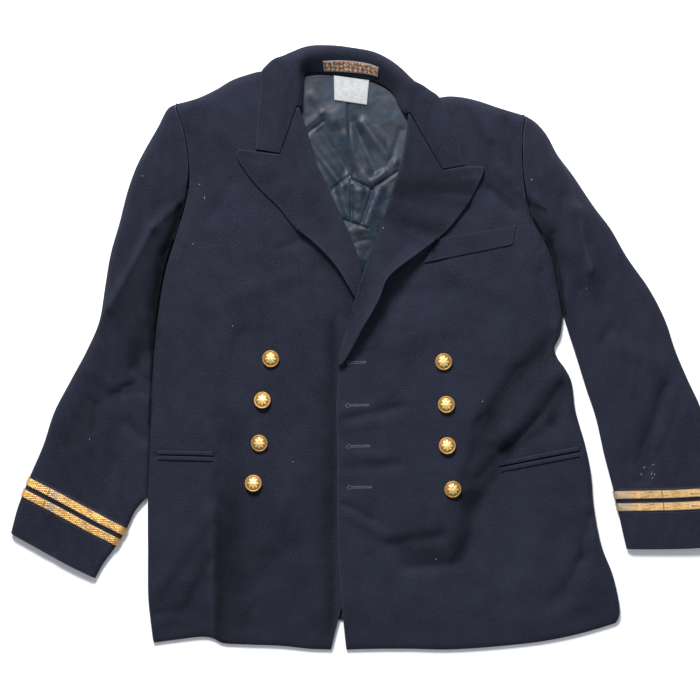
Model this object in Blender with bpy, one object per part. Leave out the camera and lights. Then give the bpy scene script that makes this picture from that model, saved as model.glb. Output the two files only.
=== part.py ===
"""Double-breasted service dress jacket, laid flat on its back with the sleeves spread.

The tables are in millimetres. x runs to the right as the jacket is seen from above, y from the
hem to the collar, and z up from the surface that it lies on. Right and left are the wearer's, so
the wearer's left front, which laps over the right one, has the positive x. Every cloth piece is a
sheet: a grid of points on the middle of its wall, which Solidify thickens.
"""

import copy
import math

import bmesh
import bpy
import numpy as np
from mathutils import Euler, Vector

MM = 0.001

# Walls and gaps
OUTER_WALL = 3.0
PLATE_WALL = 2.4
COLLAR_WALL = 3.4
LINING_WALL = 1.0
TRIM_WALL = 1.2
LACE_WALL = 1.0
LABEL_WALL = 0.8
SEAM_GAP = 0.35
LAY_GAP = 0.6
UNDER_GAP = 0.8
UNDER_INSET = 2.5
CORNER_CUT = 3
HEM = {"edge": OUTER_WALL / 2 + 0.2, "roll": 8.0}
HEM_FADE = 40.0
LOWEST_FRONT = PLATE_WALL + LAY_GAP + OUTER_WALL / 2
LOWEST_SLEEVE = LOWEST_FRONT + 1.6

# How fine the grids are, as the largest cell of a sheet
CELL = 19.0
LAPEL_CELL = 15.0
TRIM_CELL = 11.0
PLATE_CELL = 24.0

# Cuff lace, from the cuff's end
LACE_WIDTH = 11.0
LACE_STARTS = {"lower": 52.0, "upper": 68.5}

# Buttons
BUTTON_SIDES = 12

COLOURS = {
    "wool": ((0.021, 0.023, 0.038), 0.95, 0.0),
    "lining": ((0.055, 0.066, 0.088), 0.38, 0.0),
    "lace": ((0.50, 0.33, 0.13), 0.45, 0.6),
    "brass": ((0.80, 0.52, 0.20), 0.28, 1.0),
    "label": ((0.16, 0.07, 0.03), 0.8, 0.0),
    "patch": ((0.72, 0.73, 0.69), 0.85, 0.0),
}


def table(columns, *rows):
    """Rows of numbers as a dict of named columns."""
    return dict(zip(columns.split(), np.array(rows, float).T))


# Where each front or sleeve ends. edge is the height of the sheet's middle there, roll how far
# in from the edge it has risen to its full height, and inset how far the sheet's middle lies
# inside the drawn line, which is where two pieces meet or where the cloth turns out of sight.
# under is how far inside that line the back ends.
RIGHT_ARMHOLE = table(
    "x y edge roll inset under",
    (-217, 725.5, 30, 9, 1.3, -3.5),
    (-207, 698, 30, 9, 0.5, -3.5),
    (-201, 672, 30, 9, 0.5, -3.5),
    (-198, 638, 30, 9, 0.6, -3.5),
    (-200, 610, 11.5, 10, 1.8, -3.5),
    (-206, 582, 7, 11, 1.8, -3.5),
)
RIGHT_BESIDE_SLEEVE = table(
    "x y edge roll inset under",
    (-206, 582, 7, 11, 1.8, -3.5),
    (-219, 541, 5.4, 13, 1.9, -2.2),
    (-231, 499, 5, 12, 1.9, -1.5),
    (-239, 452, 5, 10, 1.9, -1.5),
    (-245, 399, 4.6, 9, 1.9, -1.5),
    (-249, 332, 3.6, 9, 1.9, -1.5),
    (-251, 262, 3.6, 9, 1.9, -1.5),
    (-254, 201, 3.6, 9, 1.9, -1.5),
)
RIGHT_SKIRT_SIDE = table(
    "x y edge roll inset under",
    (-254, 201, 3.6, 9, 1.9, -1.5),
    (-254, 196, 3.5, 9, 1.7, 3),
    (-253.5, 133, 3.4, 9, 1.5, 3.7),
    (-253, 66, 3.4, 9, 1.5, 3.7),
    (-247, 9, 3.4, 7, 1.5, 3.7),
)
LEFT_ARMHOLE = table(
    "x y edge roll inset under",
    (249, 710.5, 30, 9, 1.3, -3.5),
    (245, 685, 30, 9, 0.5, -3.5),
    (245, 657, 30, 9, 0.5, -3.5),
    (247, 625, 30, 9, 0.6, -3.5),
    (252, 594, 8.5, 10, 1.8, -3.5),
)
LEFT_BESIDE_SLEEVE = table(
    "x y edge roll inset under",
    (252, 594, 8.5, 10, 1.8, -3.5),
    (260, 570, 5, 11, 2, -3.5),
    (274, 545, 4.2, 11, 1.9, -2),
    (286, 519, 3.8, 10, 1.9, -1.5),
    (293, 484, 3.6, 9, 1.9, -1.5),
    (300, 442, 3.6, 9, 1.9, -1.5),
)
LEFT_SKIRT_SIDE = table(
    "x y edge roll inset under",
    (300, 442, 3.6, 9, 1.9, -1.5),
    (299.2, 437, 3.5, 9, 1.7, 3),
    (296, 417, 3.4, 9, 1.5, 3.7),
    (288.5, 400, 3.4, 9, 1.5, 3.7),
    (293, 387, 3.4, 9, 1.5, 3.7),
    (303, 373, 3.4, 9, 1.5, 3.7),
    (311, 357, 3.4, 9, 1.5, 3.7),
    (316, 320, 3.4, 9, 1.5, 3.7),
    (329.5, 272, 3.4, 9, 1.5, 3.7),
    (337, 235, 3.4, 9, 1.5, 3.7),
    (341, 190, 3.4, 9, 1.5, 3.7),
    (351.5, 137, 3.4, 9, 1.5, 3.7),
    (367, 97, 3.4, 9, 1.5, 3.7),
    (376, 47, 3.4, 8, 1.5, 3.7),
    (372, 36, 3.4, 7, 1.5, 3.7),
)
RIGHT_SHOULDER = table(
    "x y edge roll inset",
    (-60, 768, 3.4, 13, 1.5),
    (-101, 770, 3.4, 13, 1.5),
    (-120, 765.5, 3.4, 13, 1.5),
    (-141, 758, 3.4, 13, 1.5),
    (-164, 744.5, 3.4, 13, 1.5),
    (-188, 733.5, 3.4, 13, 1.5),
    (-217, 725.5, 3.4, 13, 1.5),
)
LEFT_SHOULDER = table(
    "x y edge roll inset",
    (88, 746, 3.4, 13, 1.5),
    (110, 740, 3.4, 13, 1.5),
    (132, 735, 3.4, 13, 1.5),
    (149, 736.5, 3.4, 13, 1.5),
    (169, 734.5, 3.4, 13, 1.5),
    (189, 729.5, 3.4, 13, 1.5),
    (216, 720.5, 3.4, 13, 1.5),
    (249, 710.5, 3.4, 13, 1.5),
)
RIGHT_SLEEVE_OUTER = table(
    "x y edge roll inset",
    (-217, 725.5, 3.4, 12, 1.5),
    (-226, 720.5, 3.4, 12, 1.5),
    (-240, 695, 3.4, 12, 1.5),
    (-267, 646, 3.4, 12, 1.5),
    (-280, 611, 3.4, 11, 1.5),
    (-291, 568, 3.4, 10, 1.5),
    (-303, 526, 3.4, 9, 1.5),
    (-310, 485, 3.4, 9, 1.5),
    (-318, 437, 3.4, 9, 1.5),
    (-334, 399, 3.4, 9, 1.5),
    (-356, 358, 3.4, 9, 1.5),
    (-378, 316, 3.4, 8, 1.5),
    (-393, 271, 3.4, 7, 1.5),
    (-411, 229, 3.4, 6, 1.5),
    (-427, 188, 3.4, 6, 1.5),
    (-436, 154, 3.4, 6, 1.5),
)
RIGHT_SLEEVE_INNER = table(
    "x y edge roll inset under",
    (-254, 201, 3.6, 8, 1.9, -1.5),
    (-259.5, 196, 3.4, 7, 1.5, -2.8),
    (-269, 185, 3.4, 7, 1.5, -2.8),
    (-281, 160.5, 3.4, 6, 1.5, -2.8),
    (-294.5, 138, 3.4, 6, 1.5, -2.8),
    (-313, 112.5, 3.4, 6, 1.5, -2.8),
    (-323, 94, 3.4, 6, 1.5, -2.8),
)
LEFT_SLEEVE_OUTER = table(
    "x y edge roll inset",
    (249, 710.5, 3.4, 12, 1.5),
    (262, 702.5, 3.4, 12, 1.5),
    (277, 686, 3.4, 12, 1.5),
    (293, 657, 3.4, 12, 1.5),
    (312, 632, 3.4, 11, 1.5),
    (341, 589, 3.4, 10, 1.5),
    (363, 560, 3.4, 9, 1.5),
    (385, 522, 3.4, 9, 1.5),
    (415, 479, 3.4, 9, 1.5),
    (436, 438, 3.4, 9, 1.5),
    (449, 399, 3.4, 9, 1.5),
    (465.5, 360, 3.4, 8, 1.5),
    (483.5, 321, 3.4, 8, 1.5),
    (496, 279, 3.4, 7, 1.5),
    (504, 240, 3.4, 6, 1.5),
    (511, 190, 3.4, 6, 1.5),
    (513, 137, 3.4, 6, 1.5),
)
LEFT_SLEEVE_INNER = table(
    "x y edge roll inset under",
    (300, 442, 3.6, 8, 1.9, -1.5),
    (304, 430, 3.4, 8, 1.5, -2.8),
    (314, 399, 3.4, 8, 1.5, -2.8),
    (330.5, 346, 3.4, 8, 1.5, -2.8),
    (342.5, 310, 3.4, 7, 1.5, -2.8),
    (354, 259, 3.4, 7, 1.5, -2.8),
    (367, 209, 3.4, 6, 1.5, -2.8),
    (377.5, 161, 3.4, 6, 1.5, -2.8),
    (384, 133, 3.4, 6, 1.5, -2.8),
)

# Front edges and roll lines from the hem to the neck. At the roll line the lapel turns over.
RIGHT_FRONT_EDGE = table(
    "x y inset",
    (-9, 0, 0),
    (0, 37, 0),
    (4, 51, 0),
    (12, 80, 0),
    (23, 146, 0),
    (32, 239, 0),
    (40, 332, 0),
    (43, 412, 2),
)
RIGHT_ROLL = table(
    "x y inset",
    (43, 412, 2),
    (40, 452, 4.2),
    (32, 496, 4.2),
    (24, 527, 4.2),
    (11, 559, 4.2),
    (-7, 597, 4.2),
    (-21, 626, 4.2),
    (-31, 650, 4.2),
    (-39, 678, 4.2),
    (-46, 700, 4.2),
    (-53, 721, 4.2),
    (-56, 745, 4.2),
    (-60, 768, 4.2),
)
LEFT_FRONT_EDGE = table(
    "x y inset",
    (11, 0, 0),
    (7, 37, 0),
    (4, 67, 0),
    (0, 133, 0),
    (-1, 200, 0),
    (-1, 266, 0),
    (-2, 332, 0),
    (0, 374, 2),
)
LEFT_ROLL = table(
    "x y inset",
    (0, 374, 2),
    (4, 398, 4.2),
    (13, 426, 4.2),
    (24, 464, 4.2),
    (32, 492, 4.2),
    (43, 524, 4.2),
    (52, 548, 4.2),
    (60, 569, 4.2),
    (68, 591, 4.2),
    (78, 625, 4.2),
    (85, 645, 4.2),
    (89, 665, 4.2),
    (93, 692, 4.2),
    (94, 712, 4.2),
    (92, 732, 4.2),
    (88, 746, 4.2),
)
RIGHT_HEM = table(
    "x y",
    (-9, 0),
    (-37, 1),
    (-77, 5),
    (-130, 7),
    (-155, 9),
    (-164, 14),
    (-177, 17),
    (-217, 13),
    (-247, 9),
)
LEFT_HEM = table(
    "x y",
    (11, 0),
    (56, 1),
    (98, 1),
    (141, 0),
    (185, 2),
    (269, 10.5),
    (313, 19),
    (343, 27),
    (372, 36),
)
RIGHT_CUFF = table("x y", (-436, 154), (-397, 132.5), (-359, 111.5), (-323, 94))
LEFT_CUFF = table("x y", (513, 137), (470, 134), (428, 133), (384, 133))

# How high the middle of each front lies, by its height above the hem
RIGHT_LOFT = table(
    "up z",
    (0, 4.9),
    (20, 5.3),
    (40, 6.4),
    (60, 7.4),
    (110, 8.3),
    (250, 8.5),
    (400, 9.5),
    (500, 11.5),
    (600, 13),
    (700, 14.5),
    (770, 15),
)
LEFT_LOFT = table(
    "up z",
    (0, 4.9),
    (20, 5.5),
    (45, 7.4),
    (70, 9.2),
    (110, 10.2),
    (250, 9.8),
    (400, 10.5),
    (500, 12),
    (600, 13),
    (700, 14.5),
    (770, 15),
)

# Soft mounds and hollows: x and y of the middle, reach across and along, and height
RIGHT_MOUNDS = table(
    "x y across along height",
    (-180, 700, 60, 60, 4),
    (-110, 540, 80, 90, 2.2),
    (34, 240, 36, 160, -3.2),
    (45, 420, 40, 60, -2.6),
    (-60, 170, 50, 90, 1.5),
    (-215, 330, 35, 120, 1.5),
    (-203, 480, 26, 90, 5),
    (-12, 220, 15, 170, -4),
    (-138, 260, 22, 130, -3.2),
    (-64, 250, 28, 140, 2.4),
)
LEFT_MOUNDS = table(
    "x y across along height",
    (215, 690, 60, 60, 4),
    (150, 540, 80, 70, 2),
    (38, 448, 44, 52, 4.6),
    (12, 400, 26, 60, 2.4),
    (100, 230, 60, 120, 1.2),
    (300, 130, 50, 70, 2),
    (256, 520, 26, 60, 4),
)
RIGHT_SLEEVE_MOUNDS = table(
    "x y across along height",
    (-225, 665, 45, 60, 5),
    (-262, 560, 50, 60, 4),
    (-262, 470, 30, 70, 5),
    (-265, 392, 16, 26, -6),
    (-300, 300, 40, 60, 1.2),
)
LEFT_SLEEVE_MOUNDS = table(
    "x y across along height",
    (268, 655, 40, 60, 5),
    (320, 560, 50, 60, 2.5),
    (308, 520, 22, 60, 4),
    (352, 460, 24, 16, -2),
    (410, 400, 50, 60, 1.4),
)

# Folds: a line from start to end, its soft width to each side, and its height, below 0 in a
# trough. Left and right are as seen going from start to end.
FOLD_COLUMNS = "x0 y0 x1 y1 left right height"
RIGHT_FOLDS = table(
    FOLD_COLUMNS,
    (-163, -10, -161, 185, 34, 8, 6.3),
    (-146, 20, -140, 230, 10, 16, -3.6),
    (-135, 250, -128, 420, 14, 18, -1.8),
    (-170, 175, -238, 70, 12, 14, 3.6),
    (-176, 100, -236, 25, 10, 12, 2.7),
    (-72, 210, -108, 70, 26, 26, 2.1),
    (30, 425, -44, 545, 18, 8, -4.5),
    (-128, 90, -106, 25, 9, 9, -2.4),
)
LEFT_FOLDS = table(
    FOLD_COLUMNS,
    (290, 372, 224, 292, 15, 12, 5.4),
    (224, 292, 186, 214, 14, 12, 4.8),
    (300, 345, 284, 303, 9, 9, -3.6),
    (284, 303, 226, 262, 8, 10, -3.4),
    (226, 262, 184, 200, 9, 11, -2.4),
    (240, 372, 192, 290, 12, 14, -2.4),
    (176, 205, 184, 120, 13, 13, -2.7),
    (88, 118, 172, 134, 12, 12, -2.1),
    (342, 185, 326, 60, 12, 10, 3.9),
    (296, 165, 290, 66, 16, 16, -2.4),
    (178, 722, 228, 630, 12, 12, 3.3),
    (34, 408, 116, 526, 8, 22, -5),
    (200, 616, 246, 578, 12, 12, -2.7),
)
RIGHT_SLEEVE_FOLDS = table(
    FOLD_COLUMNS,
    (-208, 584, -224, 525, 10, 15, -13),
    (-226, 515, -243, 430, 10, 16, -13),
    (-214, 566, -302, 452, 20, 22, 5.4),
    (-300, 338, -254, 352, 9, 9, -4.5),
    (-322, 400, -370, 300, 16, 18, 2.4),
    (-330, 260, -300, 200, 16, 16, 2.1),
)
LEFT_SLEEVE_FOLDS = table(
    FOLD_COLUMNS,
    (254, 590, 280, 535, 8, 9, -6),
    (290, 642, 319, 579, 14, 22, 4.5),
    (319, 579, 340, 500, 14, 22, 4.5),
    (258, 590, 277, 545, 8, 8, 3),
    (438, 348, 404, 246, 10, 10, -4.2),
    (420, 372, 380, 270, 16, 16, 2.7),
    (462, 330, 440, 240, 16, 16, 2.4),
)

# How high the sleeves lie, by the share of the way from armhole to cuff
SLEEVE_LOFT = table("along z", (0, 15), (0.15, 13), (0.35, 10.5), (0.6, 9), (1, 7.6))

# Lapels: the free outer edge from the break point to the peak, then the top edge and gorge seam
RIGHT_LAPEL_EDGE = table(
    "x y lift",
    (43, 412, 0.2),
    (35, 439, 0.2),
    (24, 464, 3),
    (13, 484, 6.5),
    (1, 504, 8),
    (-15, 524, 7.5),
    (-36, 544, 5),
    (-59, 563, 2.8),
    (-79, 588, 1.2),
    (-97, 605, 1),
    (-115, 625, 1),
    (-131, 648, 1),
    (-135, 658, 1),
    (-132, 665, 1),
)
RIGHT_LAPEL_TOP = table("x y", (-53, 721), (-76, 657))
RIGHT_LAPEL_PEAK = table("x y", (-76, 657), (-110, 661), (-132, 665))
LEFT_LAPEL_EDGE = table(
    "x y lift",
    (0, 374, 1),
    (8, 382, 3.5),
    (23, 408, 9),
    (33, 428, 13),
    (44, 446, 16),
    (55, 467, 17),
    (65, 492, 16),
    (80, 507, 14),
    (98, 520, 10.5),
    (126, 541, 4),
    (145, 557, 2.4),
    (160, 575, 1.6),
    (174, 595, 1.4),
    (186, 617, 1.8),
    (193, 634, 2.4),
    (193, 642, 2.4),
)
LEFT_LAPEL_TOP = table("x y", (94, 712), (138, 636))
LEFT_LAPEL_PEAK = table("x y", (138, 636), (168, 641), (193, 642))
LAPEL_ACROSS = 90.0
LAPEL_TIP = 0.012
LAPEL_ROLL = 6.0
LAPEL_ROLL_DROP = 8.0
LAPEL_ROLL_RISE = 2.6
LAPEL_ROLL_REACH = 26.0
RIGHT_LAPEL_FOLDS = table(FOLD_COLUMNS, (-60, 566, -20, 596, 8, 8, -1.2))
LEFT_LAPEL_FOLDS = table(
    FOLD_COLUMNS,
    (84, 617, 176, 612, 11, 11, -2.0),
    (74, 580, 134, 560, 9, 9, -2.0),
    (86, 598, 160, 590, 12, 12, 1.6),
)

# Collar sections, from the wearer's right gorge seam round the neck to the left one. Each goes
# from the neck seam up the stand to the crest, then out and down the leaf to its free edge. A
# section with corner 1 has a sharp corner at mid, where the gorge seam ends in the notch.
COLLAR_COLUMNS = (
    "seam_x seam_y seam_z crest_x crest_y crest_z mid_x mid_y mid_z edge_x edge_y edge_z corner"
)
COLLAR = table(
    COLLAR_COLUMNS,
    (-48, 722, 13, -54.7, 721.7, 22, -77.2, 659, 10, -109, 664, 10, 1),
    (-48, 738, 11, -56, 741, 23, -84, 716, 12, -107, 702, 10, 0),
    (-47, 752, 9, -57, 757, 24, -83, 751, 14, -103, 737, 10, 0),
    (-46, 762, 7, -56, 771, 24.5, -84, 780, 19, -99, 770, 11, 0),
    (-43, 768, 5.6, -51, 781, 25, -71, 788, 16, -72, 780, 2.4, 0),
    (-32, 769, 5, -37, 790, 25.5, -44, 799, 13, -40, 780, 1.8, 0),
    (-8, 767, 4.8, -10, 793, 25.5, -12, 800.5, 12, -12, 778, 1.8, 0),
    (18, 763, 4.8, 18, 791, 25.5, 18, 797, 12, 17, 776, 1.8, 0),
    (44, 758, 4.8, 46, 784, 25.5, 50, 791, 12, 44, 771, 1.8, 0),
    (64, 749, 5, 69, 770, 25.5, 77.5, 775.5, 14, 67, 762, 1.8, 0),
    (75, 738, 6, 83, 754.5, 25, 100, 754.5, 18, 96.5, 747, 4, 0),
    (80, 727, 8, 91, 741, 24, 111, 745.5, 20, 129, 737, 10, 0),
    (85, 718, 10, 94, 727, 23, 120, 718, 12, 145, 712, 10, 0),
    (88, 714, 12, 95, 719, 22.5, 126, 693, 11, 157, 682, 10, 0),
    (90, 712, 13, 95.6, 713, 22, 139, 638, 10, 168, 643, 10, 1),
)

# Steps of the collar's grid between two sections, and between two points of a section
COLLAR_ALONG = 3
COLLAR_ACROSS = 3

# The back and what shows inside the neck
BACK_HEM = table("x y", (-246, 24), (-120, 29), (5, 38.5), (150, 34), (280, 35), (370, 52))
BACK_NECK = table(
    "x y",
    (-101, 762),
    (-70, 766),
    (-46, 770),
    (-20, 769.5),
    (18, 765),
    (50, 759.5),
    (72, 749.5),
    (100, 739),
    (132, 732),
)
LINING_SIDE_RIGHT = table(
    "x y", (16, 492), (-8, 540), (-34, 590), (-52, 640), (-58, 690), (-58, 735), (-46, 762)
)
LINING_SIDE_LEFT = table(
    "x y", (48, 492), (60, 540), (78, 590), (94, 640), (100, 690), (92, 716), (76, 736)
)
LINING_NECK = table("x y", (-46, 762), (-20, 764.5), (18, 760), (46, 754.5), (66, 744.5), (76, 736))
LINING_LOFT = table("y z", (492, 5), (540, 5), (640, 4.6), (720, 4), (765, 3.6))
LINING_FOLDS = table(
    FOLD_COLUMNS,
    (-30, 715, 12, 640, 9, 8, 2.6),
    (-12, 745, 8, 690, 9, 9, 2.0),
    (22, 742, 17, 640, 8, 8, 1.8),
    (60, 730, 48, 640, 10, 10, 2.4),
    (-34, 650, 8, 560, 9, 8, 3.0),
    (8, 612, 68, 650, 9, 9, 2.8),
    (14, 600, 46, 560, 8, 8, 3.0),
    (20, 575, 30, 505, 8, 8, 2.6),
    (0, 560, 22, 520, 7, 7, 2.2),
)

# Trims on the fronts, by their corners in plan: the start and end of the lower line, then the end
# and start of the upper one. The woven label's are shares along the collar and up its stand.
WELT = ((113, 514), (231, 538), (236, 563), (133, 545.5))
RIGHT_JETS = {
    "right_pocket_upper_jet": ((-240, 259.8), (-166, 258), (-166, 263.5), (-240, 265.3)),
    "right_pocket_lower_jet": ((-240, 252.5), (-166, 250.5), (-166, 256), (-240, 258)),
}
LEFT_JETS = {
    "left_pocket_upper_jet": ((214, 243.8), (321, 265), (320, 270.5), (213, 249.3)),
    "left_pocket_lower_jet": ((216, 236.5), (322, 257), (321.5, 262.7), (215, 242)),
}
BUTTONS = table(
    "x y tilt_x tilt_y",
    (-89, 387, 6, -5),
    (-100, 331, -9, -8),
    (-104, 275, 7, -7),
    (-112, 221, -5, -5),
    (140, 383, 4, 4),
    (144, 326, 2, -3),
    (145, 271, -3, 2),
    (152, 214, 6, 5),
)
BUTTON_PROFILE = table(
    "radius z",
    (0, 0),
    (2.4, 0),
    (2.4, 2.2),
    (10.4, 2.7),
    (11.4, 3.7),
    (10.6, 4.9),
    (9.4, 4.6),
    (6.4, 6.2),
    (3.2, 7.2),
    (0, 7.5),
)
LABEL_CELL = 0.12
WOVEN_LABEL = ((0.40, 0.1), (0.60, 0.28), (0.60, 0.72), (0.40, 0.55))
FABRIC_PATCH = ((-5, 731), (38.5, 724.5), (41.5, 754), (-5.5, 760.5))

# The plan's middle, which the model's origin stands under
CENTRE = 38.5, 400.75, 0.0

SLEEVES = {
    "right": {
        "outer_rows": RIGHT_SLEEVE_OUTER,
        "armhole": RIGHT_ARMHOLE,
        "beside": RIGHT_BESIDE_SLEEVE,
        "inner_rows": RIGHT_SLEEVE_INNER,
        "cuff": RIGHT_CUFF,
        "mound_rows": RIGHT_SLEEVE_MOUNDS,
        "fold_rows": RIGHT_SLEEVE_FOLDS,
        "side": -1,
    },
    "left": {
        "outer_rows": LEFT_SLEEVE_OUTER,
        "armhole": LEFT_ARMHOLE,
        "beside": LEFT_BESIDE_SLEEVE,
        "inner_rows": LEFT_SLEEVE_INNER,
        "cuff": LEFT_CUFF,
        "mound_rows": LEFT_SLEEVE_MOUNDS,
        "fold_rows": LEFT_SLEEVE_FOLDS,
        "side": 1,
    },
}


class Line:
    """A smooth line through a table's rows, read by its share of length."""

    def __init__(self, rows, steps=8, sharp=False):
        self.names = list(rows)
        knots = np.array([rows[name] for name in self.names]).T
        self.points = knots if sharp else catmull_rom(knots, steps)
        self.measure()

    def measure(self):
        plan = self.points[:, :2]
        lengths = np.linalg.norm(np.diff(plan, axis=0), axis=1)
        self.along = np.concatenate([[0.0], np.cumsum(lengths)])
        self.length = self.along[-1]

    def renewed(self, points):
        """A line with this one's columns, through other points."""
        line = copy.copy(self)
        line.points = points
        line.measure()
        return line

    def joined(self, other):
        """This line with the next one added at its end."""
        return self.renewed(np.vstack([self.points, other.points[1:]]))

    def reversed(self):
        return self.renewed(self.points[::-1].copy())

    def inset(self, side, by="inset", sign=1, extra=0.0):
        """The line moved by a column's distances, to the left of its direction if side is 1."""
        ahead = np.gradient(self.points[:, :2], axis=0)
        ahead /= np.linalg.norm(ahead, axis=1)[:, None]
        sideways = np.column_stack([-ahead[:, 1], ahead[:, 0]])
        distance = sign * self.column(by) + extra
        points = self.points.copy()
        points[:, :2] += side * sideways * distance[:, None]
        return self.renewed(points)

    @classmethod
    def through(cls, points):
        """A line straight through plan points."""
        x, y = np.array(points, float)[:, :2].T
        return cls({"x": x, "y": y}, sharp=True)

    def pin(self, start, end):
        """Moves the line's ends to these points."""
        self.points[0, :2] = start[:2]
        self.points[-1, :2] = end[:2]
        self.measure()

    def column(self, name):
        return self.points[:, self.names.index(name)]

    def at(self, share):
        """Plan points at shares of the length, of any array's shape."""
        where = np.asarray(share, float) * self.length
        return np.stack([np.interp(where, self.along, self.points[:, k]) for k in (0, 1)], axis=-1)

    def nearest(self, x, y):
        """Distance from each point to the line, and the line's edge and roll there."""
        points = np.stack([np.ravel(x), np.ravel(y)], axis=1)
        start, end = self.points[:-1], self.points[1:]
        step = end[:, :2] - start[:, :2]
        away = points[:, None, :] - start[None, :, :2]
        share = np.clip((away * step).sum(2) / (step**2).sum(1), 0, 1)
        distance = np.linalg.norm(away - share[:, :, None] * step, axis=2)
        best = distance.argmin(axis=1)
        pick = np.arange(len(points))
        values = []
        for name in ("edge", "roll"):
            if name not in self.names:
                values.append(np.full(np.shape(x), HEM[name]))
                continue
            k = self.names.index(name)
            low, high = start[best, k], end[best, k]
            values.append((low + share[pick, best] * (high - low)).reshape(np.shape(x)))
        return distance[pick, best].reshape(np.shape(x)), *values


def catmull_rom(knots, steps):
    """A centripetal Catmull-Rom curve through the knots, whose first two columns are x and y."""
    first, last = 2 * knots[0] - knots[1], 2 * knots[-1] - knots[-2]
    ring = np.vstack([first, knots, last])
    gaps = np.linalg.norm(np.diff(ring[:, :2], axis=0), axis=1)
    times = np.concatenate([[0.0], np.cumsum(np.sqrt(np.maximum(gaps, 1e-6)))])
    found = []
    for k in range(1, len(ring) - 2):
        t0, t1, t2, t3 = times[k - 1 : k + 3]
        p0, p1, p2, p3 = ring[k - 1 : k + 3]
        t = np.linspace(t1, t2, steps + 1)[:-1, None]
        a1 = (t1 - t) / (t1 - t0) * p0 + (t - t0) / (t1 - t0) * p1
        a2 = (t2 - t) / (t2 - t1) * p1 + (t - t1) / (t2 - t1) * p2
        a3 = (t3 - t) / (t3 - t2) * p2 + (t - t2) / (t3 - t2) * p3
        b1 = (t2 - t) / (t2 - t0) * a1 + (t - t0) / (t2 - t0) * a2
        b2 = (t3 - t) / (t3 - t1) * a2 + (t - t1) / (t3 - t1) * a3
        found.append((t2 - t) / (t2 - t1) * b1 + (t - t1) / (t2 - t1) * b2)
    return np.vstack([*found, knots[-1:]])


def patch(near, far, start, end, s, t):
    """Coons patch in plan: near and far run along t, start and end across s."""
    across, along = s[..., None], t[..., None]
    ruled = (1 - across) * near.at(t) + across * far.at(t)
    ruled = ruled + (1 - along) * start.at(s) + along * end.at(s)
    corners = (
        (1 - across) * (1 - along) * near.at(0.0)
        + across * (1 - along) * far.at(0.0)
        + (1 - across) * along * near.at(1.0)
        + across * along * far.at(1.0)
    )
    return ruled - corners


def shares(length, cell, rolled_start=0.0, rolled_end=0.0):
    """Shares from 0 to 1, closer together over the rolled ends."""
    turn = 1 - np.cos(np.radians([0, 30, 60, 90]))
    head = turn * rolled_start if rolled_start else np.array([0.0])
    tail = length - turn[::-1] * rolled_end if rolled_end else np.array([length])
    count = max(2, math.ceil((tail[0] - head[-1]) / cell))
    middle = np.linspace(head[-1], tail[0], count + 1)[1:-1]
    return np.concatenate([head, middle, tail]) / length


def folds(rows, x, y):
    """Height of a table's folds at each point."""
    height = np.zeros(np.shape(x))
    for k in range(len(rows["x0"])):
        start = np.array([rows["x0"][k], rows["y0"][k]])
        step = np.array([rows["x1"][k], rows["y1"][k]]) - start
        away_x, away_y = x - start[0], y - start[1]
        share = np.clip((away_x * step[0] + away_y * step[1]) / (step @ step), 0, 1)
        off_x, off_y = away_x - share * step[0], away_y - share * step[1]
        side = step[0] * off_y - step[1] * off_x
        width = np.where(side > 0, rows["left"][k], rows["right"][k])
        height += rows["height"][k] * np.exp(-(off_x**2 + off_y**2) / width**2)
    return height


def mounds(rows, x, y):
    """Height of a table's mounds at each point."""
    height = np.zeros(np.shape(x))
    for k in range(len(rows["x"])):
        across = (x - rows["x"][k]) / rows["across"][k]
        along = (y - rows["y"][k]) / rows["along"][k]
        height += rows["height"][k] * np.exp(-(across**2) - along**2)
    return height


def grid_normals(grid):
    """Unit normals of a grid of points, on the side that faces up."""
    across, along = np.gradient(grid, axis=1), np.gradient(grid, axis=0)
    normal = np.cross(across, along)
    normal /= np.maximum(np.linalg.norm(normal, axis=2), 1e-9)[..., None]
    return normal * (1 if normal[..., 2].mean() > 0 else -1)


class Panel:
    """A front or a sleeve's top: a plan patch, a height over it, and edges that roll down."""

    def __init__(self, near, far, start, end, loft, rolled):
        self.sides = near, far, start, end
        self.loft = loft
        self.rolled = rolled

    def plan(self, s, t):
        return patch(*self.sides, s, t)

    def height(self, x, y):
        """Height of the sheet's middle at plan points."""
        top = self.loft(x, y)
        low = top
        for line in self.rolled:
            distance, edge, roll = line.nearest(x, y)
            edge = np.minimum(edge, top)
            share = 1 - np.clip(distance / roll, 0, 1)
            low = np.minimum(low, edge + (top - edge) * np.sqrt(1 - share**2))
        return low

    def grid(self, s, t):
        s, t = np.meshgrid(s, t)
        plan = self.plan(s, t)
        return np.dstack([plan, self.height(plan[..., 0], plan[..., 1])])

    def raised(self, x, y, rise):
        """Points straight above the sheet's middle, by rise as measured across the sheet."""
        small = 1.0
        slope_x = (self.height(x + small, y) - self.height(x - small, y)) / (2 * small)
        slope_y = (self.height(x, y + small) - self.height(x, y - small)) / (2 * small)
        slant = np.minimum(np.sqrt(1 + slope_x**2 + slope_y**2), 1.6)
        return np.stack([x, y, self.height(x, y) + rise * slant], axis=-1)


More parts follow.
